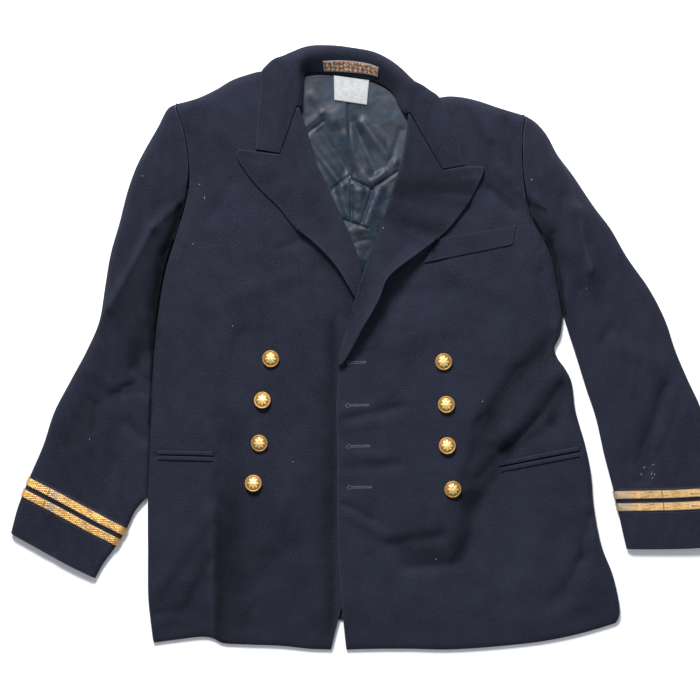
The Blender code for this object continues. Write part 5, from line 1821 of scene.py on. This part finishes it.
@dataclass
class Sleeve:
    """A sleeve laid flat: its top, its under side and two rows of lace near the cuff."""

    side: Side
    outer_rows: Table
    armhole: Table
    beside: Table
    inner_rows: Table
    cuff: Table
    mound_rows: Table
    fold_rows: Table
    lace: GoldLace
    cell: float = 2.8
    unevenness: float = 1.2
    edge_roll: float = 8.0
    under_cell: float = 8.0
    lace_cell: float = 1.9
    lace_rows: int = 7
    corner_cut: int = 1
    stitch_pitch: float = 3.0
    stitch_reach: float = 1.7
    stitch_rise: float = 0.25
    stitch_width: float = 0.42
    loft_rows: Table = field(default_factory=lambda: SLEEVE_LOFT)

    def panel(self) -> Panel:
        """The sleeve's top between its own lines, from the armhole to the cuff."""
        side = self.side.value
        outer = Line.smooth(self.outer_rows).inset(-side)
        head = Line.smooth(self.armhole).inset(side)
        inner = Line.smooth(self.beside).joined(Line.smooth(self.inner_rows)).inset(side)
        end = Line.smooth(self.cuff)
        head.pin(outer.points[0], inner.points[0])
        end.pin(outer.points[-1], inner.points[-1])
        start, axis = head.at(0.5), end.at(0.5) - head.at(0.5)

        def loft(x: np.ndarray, y: np.ndarray) -> np.ndarray:
            """How high the sleeve's top lies over the plan."""
            along = ((x - start[0]) * axis[0] + (y - start[1]) * axis[1]) / (axis @ axis)
            base = np.interp(along, self.loft_rows["along"], self.loft_rows["z"])
            extra = mounds(self.mound_rows, x, y) + folds(self.fold_rows, x, y)
            return np.maximum(base + extra + rumpled(x, y, 7 + side, self.unevenness), LOWEST_FRONT)

        return Panel((outer, inner, head, end), loft, (outer, head, inner))

    def under_grid(self) -> Grid:
        """The under side, a flat sheet on the ground that meets the back under the seam."""
        side = self.side.value
        outer = Line.smooth(self.outer_rows).inset(-side, extra=UNDER_INSET)
        head = Line.smooth(self.armhole).inset(side, "under", -1, UNDER_GAP)
        inner = Line.smooth(self.beside).joined(Line.smooth(self.inner_rows))
        inner = inner.inset(side, "under", -1, UNDER_GAP)
        end = Line.smooth(self.cuff)
        head.points, outer.points = head.points[self.corner_cut :], outer.points[2 * self.corner_cut :]
        outer.pin(head.points[0], outer.points[-1])
        head.pin(outer.points[0], inner.points[0])
        end.pin(outer.points[-1], inner.points[-1])
        s, t = np.meshgrid(*(shares(line.length, self.under_cell) for line in (head, outer)))
        plan = coons((outer, inner, head, end), s, t)
        return np.dstack([plan, np.full(plan.shape[:2], PLATE_WALL / 2)])

    def sew(self, pile: "Pile") -> None:
        """Makes the sleeve's cloth and lace.

        Args:
            pile: Takes the sleeve's top.
        """
        panel, word = self.panel(), self.side.word
        outer, inner, head, end = panel.sides
        length, width = (outer.length + inner.length) / 2, (head.length + end.length) / 2
        coarse, fine = (
            shares(width, cell, self.edge_roll, self.edge_roll) for cell in (self.cell, self.lace_cell)
        )
        top = panel.grid(coarse, shares(length, self.cell))
        under = f"{word}_under_sleeve"
        Cloth(f"{word}_top_sleeve", top, OUTER_WALL, WoolSerge(), [under]).sew()
        Cloth(under, self.under_grid(), PLATE_WALL, WoolSerge()).sew()
        pile.lay(top, OUTER_WALL)
        for place, start in LACE_STARTS.items():
            s, across = np.meshgrid(fine, np.linspace(start + LACE_WIDTH, start, self.lace_rows))
            plan = coons(panel.sides, s, self.from_cuff(panel, s, across))
            band = np.dstack([plan, panel.height(plan[..., 0], plan[..., 1])])
            band += grid_normals(band) * (OUTER_WALL / 2 + LAY_GAP + LACE_WALL / 2)
            node = f"{word}_{place}_lace"
            Cloth(node, band, LACE_WALL, self.lace, [f"{word}_top_sleeve"]).sew()
            above = start + LACE_WIDTH + self.stitch_reach
            beside = above if place == "upper" else start - self.stitch_reach
            self.stitch(panel, beside, f"{word}_{place}_lace_stitches")

    def from_cuff(self, panel: Panel, s: np.ndarray, distance: np.ndarray) -> np.ndarray:
        """Shares along the sleeve of places this far from the cuff's end."""
        outer, inner = panel.sides[:2]
        return 1 - distance / ((1 - s) * outer.length + s * inner.length)

    def stitch(self, panel: Panel, middle: float, name: str) -> None:
        """Sews a zigzag beside a row of lace.

        Args:
            panel: The sleeve's top.
            middle: How far the zigzag's middle is from the cuff's end.
            name: The piece's name.
        """
        width = panel.sides[3].length
        count = int(width / self.stitch_pitch * 2)
        s = np.linspace(0.03, 0.97, count)
        swing = np.where(np.arange(count) % 2, self.stitch_reach, -self.stitch_reach) * 0.8
        points = coons(panel.sides, s, self.from_cuff(panel, s, middle + swing))
        grid = panel.raised(points[:, 0], points[:, 1], OUTER_WALL / 2 + self.stitch_rise)
        mesh_piece(name, *thread([grid], self.stitch_width), GreyTwist())


@dataclass
class Back:
    """The back, flat on the ground under both fronts, with soft hollows on its under side."""

    hem: Table
    neck: Table
    shoulders: tuple[Table, Table]
    sides: tuple[Sequence[Table], Sequence[Table]]
    fold_rows: Table
    cell: float = 7.0
    flat_border: float = 34.0

    def grid(self) -> Grid:
        """The sheet, a little inside the fronts' outline."""
        neck = Line.smooth(self.neck)
        tops = []
        for rows, side in zip(self.shoulders, (1, -1)):
            points = Line.smooth(rows).inset(side, extra=UNDER_INSET).points
            beyond = (points[:, 0] - neck.points[0 if side > 0 else -1, 0]) * side < -2
            tops.append(points[beyond, :2])
        top = Line.through(np.vstack([tops[0][::-1], neck.points[:, :2], tops[1]]))
        edges = []
        for side, k, rows in ((-1, 0, self.sides[0]), (1, -1, self.sides[1])):
            skirt, beside, armhole = (Line.smooth(part).reversed().inset(side, "under") for part in rows)
            points = skirt.joined(beside).joined(armhole).points
            line = Line.through(points[points[:, 1] > self.hem["y"][k]])
            line.points[-1] = top.points[k]
            line.measure()
            edges.append(line)
        hem = Line.smooth(self.hem)
        hem.pin(edges[0].points[0], edges[1].points[0])
        s, t = np.meshgrid(shares(hem.length, self.cell), shares(edges[0].length, self.cell))
        plan = coons((*edges, hem, top), s, t)
        x, y = plan[..., 0], plan[..., 1]
        inside = np.minimum(np.minimum(s, 1 - s) * hem.length, np.minimum(t, 1 - t) * edges[0].length)
        fade = np.clip(inside / self.flat_border, 0, 1) ** 2
        return np.dstack([plan, PLATE_WALL / 2 + np.maximum(folds(self.fold_rows, x, y), 0) * fade])

    def sew(self, pile: "Pile") -> None:
        """Lays the back first of all on the pile."""
        grid = self.grid()
        Cloth("back", grid, PLATE_WALL, WoolSerge()).sew()
        pile.lay(grid, PLATE_WALL)


@dataclass
class Lining:
    """The back's satin lining, where the open neck shows it, in crinkles."""

    right_side: Table
    left_side: Table
    neck: Table
    loft_rows: Table
    fold_rows: Table
    cell: float = 1.7
    width: float = 150.0
    low_fade: float = 0.1
    high_fade: float = 0.12
    deepest: float = -1.2
    crushed: tuple[tuple[float, float], tuple[float, float]] = ((600, 650), (1.0, 0.42))

    def crinkles(self, x: np.ndarray, y: np.ndarray) -> np.ndarray:
        """Puffed places with sharp creases between them, as in crushed satin."""
        warp_x = x + 7 * uneven(x, y, 24, 3)
        warp_y = y + 7 * uneven(x, y, 24, 4)
        share = np.interp(y, *self.crushed)
        return share * (4.2 * puffed(warp_x, 0.75 * warp_y, 27, 5) + 1.3 * puffed(warp_x, warp_y, 12, 6))

    def sew(self, pile: "Pile") -> None:
        """Lays the lining on the back.

        Args:
            pile: Has the back, and takes the lining.
        """
        near, far = Line.smooth(self.right_side), Line.smooth(self.left_side)
        start = Line.through(np.array([near.points[0], far.points[0]]))
        end = Line.smooth(self.neck)
        s, t = np.meshgrid(shares(self.width, self.cell), shares(near.length, self.cell))
        plan = coons((near, far, start, end), s, t)
        x, y = plan[..., 0], plan[..., 1]
        fade = np.clip(np.minimum(t / self.low_fade, (1 - t) / self.high_fade), 0, 1)
        fade *= np.sqrt(np.sin(math.pi * np.clip(s, 0, 1)))
        z = np.interp(y, self.loft_rows["y"], self.loft_rows["z"])
        z = z + (folds(self.fold_rows, x, y) + np.maximum(self.crinkles(x, y), self.deepest)) * fade
        grid = pile.clear(np.dstack([plan, z]), LINING_WALL, LAY_GAP)
        Cloth("back_lining", grid, LINING_WALL, SatinLining(), ["back"]).sew()
        pile.lay(grid, LINING_WALL)


@dataclass
class Trim:
    """A small four-sided piece of cloth laid on the pile, with a fuller middle."""

    node: str
    corners: Corners
    wall: float
    finish: Finish
    rests_on: str
    crown: float = 0.0
    unevenness: float = 0.0
    cell: float = 2.0

    def sew(self, pile: "Pile") -> None:
        """Lays the piece on what is there.

        Args:
            pile: All that lies under it.
        """
        s, t = quad_shares(self.corners, self.cell)
        x, y = quad_plan(self.corners, s, t)
        grid = pile.clear(np.dstack([x, y, np.zeros(x.shape)]), self.wall, SEAM_GAP)
        fade = np.sqrt(np.sin(math.pi * np.clip(s, 0, 1)) * np.sin(math.pi * np.clip(t, 0, 1)))
        grid[..., 2] += fade * (self.crown + np.abs(uneven(x, y, 9, 13)) * self.unevenness)
        Cloth(self.node, grid, self.wall, self.finish, [self.rests_on]).sew()
        pile.lay(grid, self.wall)


def quad_shares(corners: Corners, cell: float) -> tuple[np.ndarray, np.ndarray]:
    """Shares across and up a four-sided outline, with cells of about this size."""
    low_start, low_end, _, high_start = (np.array(corner, float) for corner in corners)
    width, depth = np.linalg.norm(low_end - low_start), np.linalg.norm(high_start - low_start)
    across = np.linspace(0, 1, max(6, math.ceil(width / cell) + 1))
    return np.meshgrid(across, np.linspace(0, 1, max(6, math.ceil(depth / cell) + 1)))


def quad_plan(corners: Corners, s: np.ndarray, t: np.ndarray) -> tuple[np.ndarray, np.ndarray]:
    """Plan points over a four-sided outline.

    Args:
        corners: Its lower start and end, then its upper end and start.
        s: Shares across.
        t: Shares up.

    Returns:
        The points' x and y.
    """
    low_start, low_end, high_end, high_start = (np.array(corner, float) for corner in corners)
    low = low_start + s[..., None] * (low_end - low_start)
    high = high_start + s[..., None] * (high_end - high_start)
    plan = low + t[..., None] * (high - low)
    return plan[..., 0], plan[..., 1]


@dataclass
class StandLabel:
    """The woven label on the inner face of the collar's stand."""

    node: str
    corners: Corners
    across: int = 48
    up: int = 10

    def sew(self, collar: Grid, stand_steps: int) -> None:
        """Lays the label on the stand.

        Args:
            collar: The collar's grid.
            stand_steps: How many of its cells go up the stand.
        """
        s, t = np.meshgrid(np.linspace(0, 1, self.across), np.linspace(0, 1, self.up))
        along, height = quad_plan(self.corners, s, t)
        row, column = along * (len(collar) - 1), height * stand_steps
        low_row, low_column = np.floor(row).astype(int), np.floor(column).astype(int)
        u, v = (row - low_row)[..., None], (column - low_column)[..., None]
        normals = grid_normals(collar)
        found = []
        for layer in (collar, normals):
            near = layer[low_row, low_column] * (1 - v) + layer[low_row, low_column + 1] * v
            far = layer[low_row + 1, low_column] * (1 - v) + layer[low_row + 1, low_column + 1] * v
            found.append(near * (1 - u) + far * u)
        grid = found[0] + found[1] * (COLLAR_WALL / 2 + LAY_GAP + LABEL_WALL / 2)
        Cloth(self.node, grid, LABEL_WALL, LabelTape(), ["collar"], rim=3).sew()


def tube(index: np.ndarray) -> list[list[int]]:
    """Quads that join each ring of points to the next one."""
    a, b = index[:-1], index[1:]
    return np.stack([a, np.roll(a, -1, 1), np.roll(b, -1, 1), b], axis=-1).reshape(-1, 4).tolist()


def thread(lines: Sequence[np.ndarray], width: float, sides: int = 5) -> tuple[np.ndarray, list[list[int]]]:
    """Round threads through lines of points.

    Args:
        lines: The points of each thread's middle.
        width: The threads' diameter.
        sides: How many sides they have.

    Returns:
        The points and faces of all of them, closed at their ends.
    """
    points, faces, start = [], [], 0
    turn = np.linspace(0, math.tau, sides, endpoint=False)
    for line in lines:
        line = np.asarray(line, float)
        ahead = np.gradient(line, axis=0)
        ahead /= np.maximum(np.linalg.norm(ahead, axis=1), 1e-9)[:, None]
        beside = np.cross(ahead, (0.0, 0.0, 1.0))
        beside /= np.maximum(np.linalg.norm(beside, axis=1), 1e-9)[:, None]
        above = np.cross(beside, ahead)
        ring = beside[:, None] * np.cos(turn)[None, :, None] + above[:, None] * np.sin(turn)[None, :, None]
        thick = np.full(len(line), width / 2)
        thick[[0, -1]] *= 0.35
        points.append((line[:, None] + ring * thick[:, None, None]).reshape(-1, 3))
        index = start + np.arange(len(line) * sides).reshape(len(line), sides)
        faces += [*tube(index), index[0, ::-1].tolist(), index[-1].tolist()]
        start += len(line) * sides
    return np.vstack(points), faces


@dataclass
class Button:
    """A domed shank button with a roped rim and an eight-petalled rosette of no service's own."""

    node: str
    place: tuple[float, float]
    tilt: tuple[float, float]
    sides: int = 80
    profile: Table = field(
        default_factory=lambda: table(
            "radius z",
            (0, 0),
            (2.4, 0),
            (2.4, 2.2),
            (9.8, 2.6),
            (11.2, 3.2),
            (11.4, 3.9),
            (11.0, 4.7),
            (10.3, 5.0),
            (9.6, 4.6),
            (9.1, 4.35),
            (8.4, 4.95),
            (7.4, 5.55),
            (6.4, 6.05),
            (5.4, 6.5),
            (4.4, 6.85),
            (3.4, 7.1),
            (2.4, 7.3),
            (1.3, 7.42),
            (0, 7.5),
        )
    )
    petals: int = 8
    rope: int = 36
    seat: float = 0.1

    def relief(self, radius: np.ndarray, angle: np.ndarray) -> np.ndarray:
        """Height of the stamping over the dome.

        Args:
            radius: The points' distance from the middle.
            angle: Their direction from it.

        Returns:
            The height at each point.
        """
        petal = np.abs(np.cos(angle * self.petals / 2)) ** 0.7 * np.clip(radius / 3, 0, 1)
        edge = np.clip((8.6 - radius) / 0.8, 0, 1)
        reach = 4.6 + 3.2 * np.abs(np.cos(angle * self.petals / 2))
        rosette = 0.42 * petal * np.clip((reach - radius) / 0.7, 0, 1) * edge
        boss = 0.35 * np.clip((2.2 - radius) / 0.5, 0, 1)
        on_rim = np.clip(1 - np.abs(radius - 10.4) / 1.1, 0, 1)
        return rosette + boss + 0.22 * on_rim * np.cos(angle * self.rope + radius * 1.4)

    def sew(self, pile: "Pile") -> None:
        """Sets the button on the cloth, on its shank and a little tilted.

        Args:
            pile: The cloth.
        """
        radius, z = self.profile["radius"][1:-1], self.profile["z"][1:-1]
        angle = np.linspace(0, math.tau, self.sides, endpoint=False)
        around, rings = np.meshgrid(angle, radius)
        face = np.arange(len(radius)) > 3
        stamped = self.relief(rings, around) * face[:, None]
        x, y = rings * np.cos(around), rings * np.sin(around)
        points = np.dstack([x, y, z[:, None] + stamped]).reshape(-1, 3)
        top = self.profile["z"][-1] + 0.35
        points = np.vstack([points, (0, 0, 0), (0, 0, top)])
        index = np.arange(rings.size).reshape(rings.shape)
        faces = tube(index)
        faces += [[rings.size, k, j] for j, k in zip(index[0], np.roll(index[0], -1))]
        faces += [[rings.size + 1, j, k] for j, k in zip(index[-1], np.roll(index[-1], -1))]
        turn = Euler((*(math.radians(part) for part in self.tilt), 0.0)).to_matrix()
        points = points @ np.array(turn).T + (*self.place, 0.0)
        points[:, 2] += (pile.spread()[pile.places(points)] - points[:, 2]).max() + self.seat
        piece = mesh_piece(f"{self.node}_gilt", points, [[int(k) for k in one] for one in faces], GiltBrass())
        hollow = np.clip(1 - (stamped / 0.3), 0, 1) * face[:, None] * np.clip(np.abs(rings - 9.9) < 8, 0, 1)
        keep(piece, "hollow", np.concatenate([hollow.ravel(), (1, 0)]))
        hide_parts(self.node)


@dataclass
class Buttonhole:
    """A worked buttonhole: a slit with a keyhole end, edged with stitches of grey twist."""

    name: str
    start: tuple[float, float]
    end: tuple[float, float]
    eye: float = 1.9
    reach: float = 1.3
    pitch: float = 0.95
    twist: float = 0.6
    slit: float = 0.35

    def sew(self, pile: "Pile") -> None:
        """Works the stitches round the slit.

        Args:
            pile: The cloth that is there.
        """
        start, end = np.array(self.start), np.array(self.end)
        ahead = (end - start) / np.linalg.norm(end - start)
        beside = np.array([-ahead[1], ahead[0]])
        length = np.linalg.norm(end - start)
        count = int(length / self.pitch)
        tops = pile.spread()
        lines = []
        for k in range(count + 1):
            along = k * self.pitch
            half = self.eye * math.sqrt(max(0.0, 1 - ((along - self.eye) / self.eye) ** 2))
            half = max(half, self.slit)
            wobble = 0.25 * math.sin(k * 2.4)
            for side in (-1, 1):
                near = start + ahead * along + beside * side * half
                far = near + beside * side * (self.reach + wobble) + ahead * 0.2 * side
                lines.append(self.over(tops, pile, near, far))
        for end_point, way in ((start, -1), (end, 1)):
            for turn in (-0.9, -0.3, 0.3, 0.9):
                out = ahead * way * math.cos(turn) + beside * math.sin(turn)
                lines.append(self.over(tops, pile, end_point, end_point + out * self.reach))
        mesh_piece(self.name, *thread(lines, self.twist, 4), GreyTwist())

    def over(self, tops: np.ndarray, pile: "Pile", near: np.ndarray, far: np.ndarray) -> np.ndarray:
        """One stitch from near to far, as points that arch a little over the cloth."""
        share = np.linspace(0, 1, 4)[:, None]
        plan = near + (far - near) * share
        height = tops[pile.places(plan)].max() + self.twist * (0.1 + 0.35 * np.sin(math.pi * share[:, 0]))
        return np.column_stack([plan, height])


@dataclass
class Scraps:
    """Ends of pale thread and lint that cling to the cloth."""

    name: str
    places: Table
    width: float = 0.36

    def scatter(self, pile: "Pile") -> None:
        """Lays each scrap on the cloth as a short curl.

        Args:
            pile: The cloth.
        """
        tops, lines = pile.spread(), []
        for k, (x, y, length, turn) in enumerate(zip(*self.places.values())):
            share = np.linspace(-0.5, 0.5, 7)
            bend = 0.8 * math.sin(3.1 * k + 1)
            angle = math.radians(turn) + bend * share
            plan = np.column_stack([x + length * share * np.cos(angle), y + length * share * np.sin(angle)])
            height = tops[pile.places(plan)].max() + self.width * 0.4
            lines.append(np.column_stack([plan, np.full(len(plan), height)]))
        mesh_piece(self.name, *thread(lines, self.width, 5), PaleThread())


@dataclass
class Studio:
    """A pale floor, soft light and the camera straight above, as the photograph has them."""

    view_width: float = 0.931
    middle: tuple[float, float] = (-0.0225, -0.0025)
    camera_height: float = 3.0
    subject_height: float = 0.009
    floor_size: float = 8.0
    floor_drop: float = 0.0006
    sky: str = "#eef1f6"
    sky_strength: float = 0.38
    # place, side, power and colour of each light
    lights: tuple = (
        ("key", (-0.55, 2.15, 1.95), 0.8, 162.0, "#fbfaff"),
        ("fill", (1.2, -1.2, 2.6), 2.4, 12.0, "#e8f0ff"),
    )

    def set_up(self) -> None:
        """Makes the floor, the lights and the camera."""
        scene = bpy.context.scene
        scene.view_settings.view_transform = "Standard"
        self.lay_floor(scene)
        world = bpy.data.worlds.new("studio")
        world.use_nodes = True
        sky = {"Color": linear(self.sky), "Strength": self.sky_strength}
        feed(world.node_tree.nodes["Background"], sky)
        scene.world = world
        for light in self.lights:
            self.add_light(*light)
        camera = bpy.data.objects.new("camera", bpy.data.cameras.new("camera"))
        camera.location = (*self.middle, self.camera_height)
        reach = self.camera_height - self.subject_height
        camera.data.lens = camera.data.sensor_width * reach / self.view_width
        scene.collection.objects.link(camera)
        scene.camera = camera

    def lay_floor(self, scene: bpy.types.Scene) -> None:
        """Makes the pale floor just under the jacket.

        Args:
            scene: Takes the floor.
        """
        half = self.floor_size / 2
        mesh = bpy.data.meshes.new("floor")
        plan = ((-half, -half), (half, -half), (half, half), (-half, half))
        corners = [(x, y, -self.floor_drop) for x, y in plan]
        mesh.from_pydata(corners, [], [(0, 1, 2, 3)])
        paper = bpy.data.materials.new("white_paper")
        paper.use_nodes = True
        shader = paper.node_tree.nodes["Principled BSDF"]
        feed(shader, {"Base Color": linear("#f7f7f7"), "Roughness": 0.9})
        mesh.materials.append(paper)
        floor = bpy.data.objects.new("floor", mesh)
        scene.collection.objects.link(floor)

    def add_light(self, name: str, place: tuple, size: float, power: float, colour: str) -> None:
        """Adds a soft square light that faces the jacket.

        Args:
            name: The light's name.
            place: Where it stands, in metres.
            size: Its side, in metres.
            power: Its power, in watts.
            colour: Its colour.
        """
        data = bpy.data.lights.new(name, "AREA")
        data.energy, data.size, data.color = power, size, linear(colour)[:3]
        light = bpy.data.objects.new(name, data)
        light.location = place
        light.rotation_euler = (-Vector(place)).to_track_quat("-Z", "Y").to_euler()
        bpy.context.scene.collection.objects.link(light)


def make_fronts() -> list[tuple[Front, Lapel]]:
    """The two fronts with their lapels, the right one first because the left one laps over it."""
    right = Front(
        Side.RIGHT,
        RIGHT_FRONT_EDGE,
        RIGHT_ROLL,
        RIGHT_HEM,
        RIGHT_SHOULDER,
        RIGHT_ARMHOLE,
        RIGHT_BESIDE_SLEEVE,
        RIGHT_SKIRT_SIDE,
        RIGHT_LOFT,
        RIGHT_MOUNDS,
        joined(RIGHT_FOLDS, RIGHT_CREASES, RIGHT_SLIT),
    )
    left = Front(
        Side.LEFT,
        LEFT_FRONT_EDGE,
        LEFT_ROLL,
        LEFT_HEM,
        LEFT_SHOULDER,
        LEFT_ARMHOLE,
        LEFT_BESIDE_SLEEVE,
        LEFT_SKIRT_SIDE,
        LEFT_LOFT,
        LEFT_MOUNDS,
        joined(LEFT_FOLDS, LEFT_CREASES, LEFT_SLIT),
    )
    right_lapel = Lapel(
        Side.RIGHT,
        RIGHT_ROLL,
        RIGHT_LAPEL_EDGE,
        RIGHT_LAPEL_TOP,
        RIGHT_LAPEL_PEAK,
        joined(RIGHT_LAPEL_FOLDS, RIGHT_LAPEL_CREASES),
    )
    left_lapel = Lapel(
        Side.LEFT,
        LEFT_ROLL,
        LEFT_LAPEL_EDGE,
        LEFT_LAPEL_TOP,
        LEFT_LAPEL_PEAK,
        joined(LEFT_LAPEL_FOLDS, LEFT_LAPEL_CREASES),
    )
    return [(right, right_lapel), (left, left_lapel)]


def make_sleeves() -> list[Sleeve]:
    """The two sleeves."""
    right = Sleeve(
        Side.RIGHT,
        RIGHT_SLEEVE_OUTER,
        RIGHT_ARMHOLE,
        RIGHT_BESIDE_SLEEVE,
        RIGHT_SLEEVE_INNER,
        RIGHT_CUFF,
        RIGHT_SLEEVE_MOUNDS,
        joined(RIGHT_SLEEVE_FOLDS, RIGHT_SLEEVE_CREASES),
        GoldLace(),
    )
    left = Sleeve(
        Side.LEFT,
        LEFT_SLEEVE_OUTER,
        LEFT_ARMHOLE,
        LEFT_BESIDE_SLEEVE,
        LEFT_SLEEVE_INNER,
        LEFT_CUFF,
        LEFT_SLEEVE_MOUNDS,
        joined(LEFT_SLEEVE_FOLDS, LEFT_SLEEVE_CREASES),
        WornGoldLace(),
    )
    return [right, left]


def sew_trims(pile: Pile) -> None:
    """Lays the pocket jets, the patch, the buttonholes and the buttons on the jacket.

    Args:
        pile: All the cloth that they lie on.
    """
    for rows, front in ((RIGHT_JETS, "right_front"), (LEFT_JETS, "left_front")):
        for node, corners in rows.items():
            Trim(node, corners, TRIM_WALL, WoolSerge(), front, crown=0.8).sew(copy.deepcopy(pile))
    Trim("fabric_patch", FABRIC_PATCH, LABEL_WALL, CottonPatch(), "back_lining", unevenness=0.7).sew(pile)
    for k, (x0, y0, x1, y1) in enumerate(zip(*BUTTONHOLES.values()), 1):
        Buttonhole(f"buttonhole_{k}", (x0, y0), (x1, y1)).sew(pile)
    for k, (x, y, tilt_x, tilt_y) in enumerate(zip(*BUTTONS.values())):
        word, number = ("right", k + 1) if k < 4 else ("left", k - 3)
        Button(f"{word}_button_{number}", (x, y), (tilt_x, tilt_y)).sew(pile)


def main() -> None:
    """Builds the jacket's pieces in the order that they are laid, then the studio."""
    logging.basicConfig(level=logging.INFO, format="%(name)s: %(message)s")
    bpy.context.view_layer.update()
    pile, over_fronts, under_collar = Pile(), Pile(), Pile()
    sides = (
        (RIGHT_SKIRT_SIDE, RIGHT_BESIDE_SLEEVE, RIGHT_ARMHOLE),
        (LEFT_SKIRT_SIDE, LEFT_BESIDE_SLEEVE, LEFT_ARMHOLE),
    )
    Back(BACK_HEM, BACK_NECK, (RIGHT_SHOULDER, LEFT_SHOULDER), sides, BACK_CREASES).sew(pile)
    Lining(LINING_SIDE_RIGHT, LINING_SIDE_LEFT, LINING_NECK, LINING_LOFT, LINING_CREASES).sew(pile)
    for front, lapel in make_fronts():
        panel = front.panel()
        front.sew(over_fronts, under_collar, panel)
        if front.side is Side.LEFT:
            Trim("breast_welt", WELT, TRIM_WALL, WoolSerge(), "left_front", crown=0.2).sew(over_fronts)
        lapel.sew(over_fronts, panel)
    np.maximum(pile.top, over_fronts.top, out=pile.top)
    collar = Collar(COLLAR)
    StandLabel("woven_label", WOVEN_LABEL).sew(collar.sew(under_collar), collar.across)
    for sleeve in make_sleeves():
        sleeve.sew(pile)
    sew_trims(pile)
    Scraps("loose_threads", SCRAPS).scatter(pile)
    Studio().set_up()


if __name__ == "__main__":
    main()
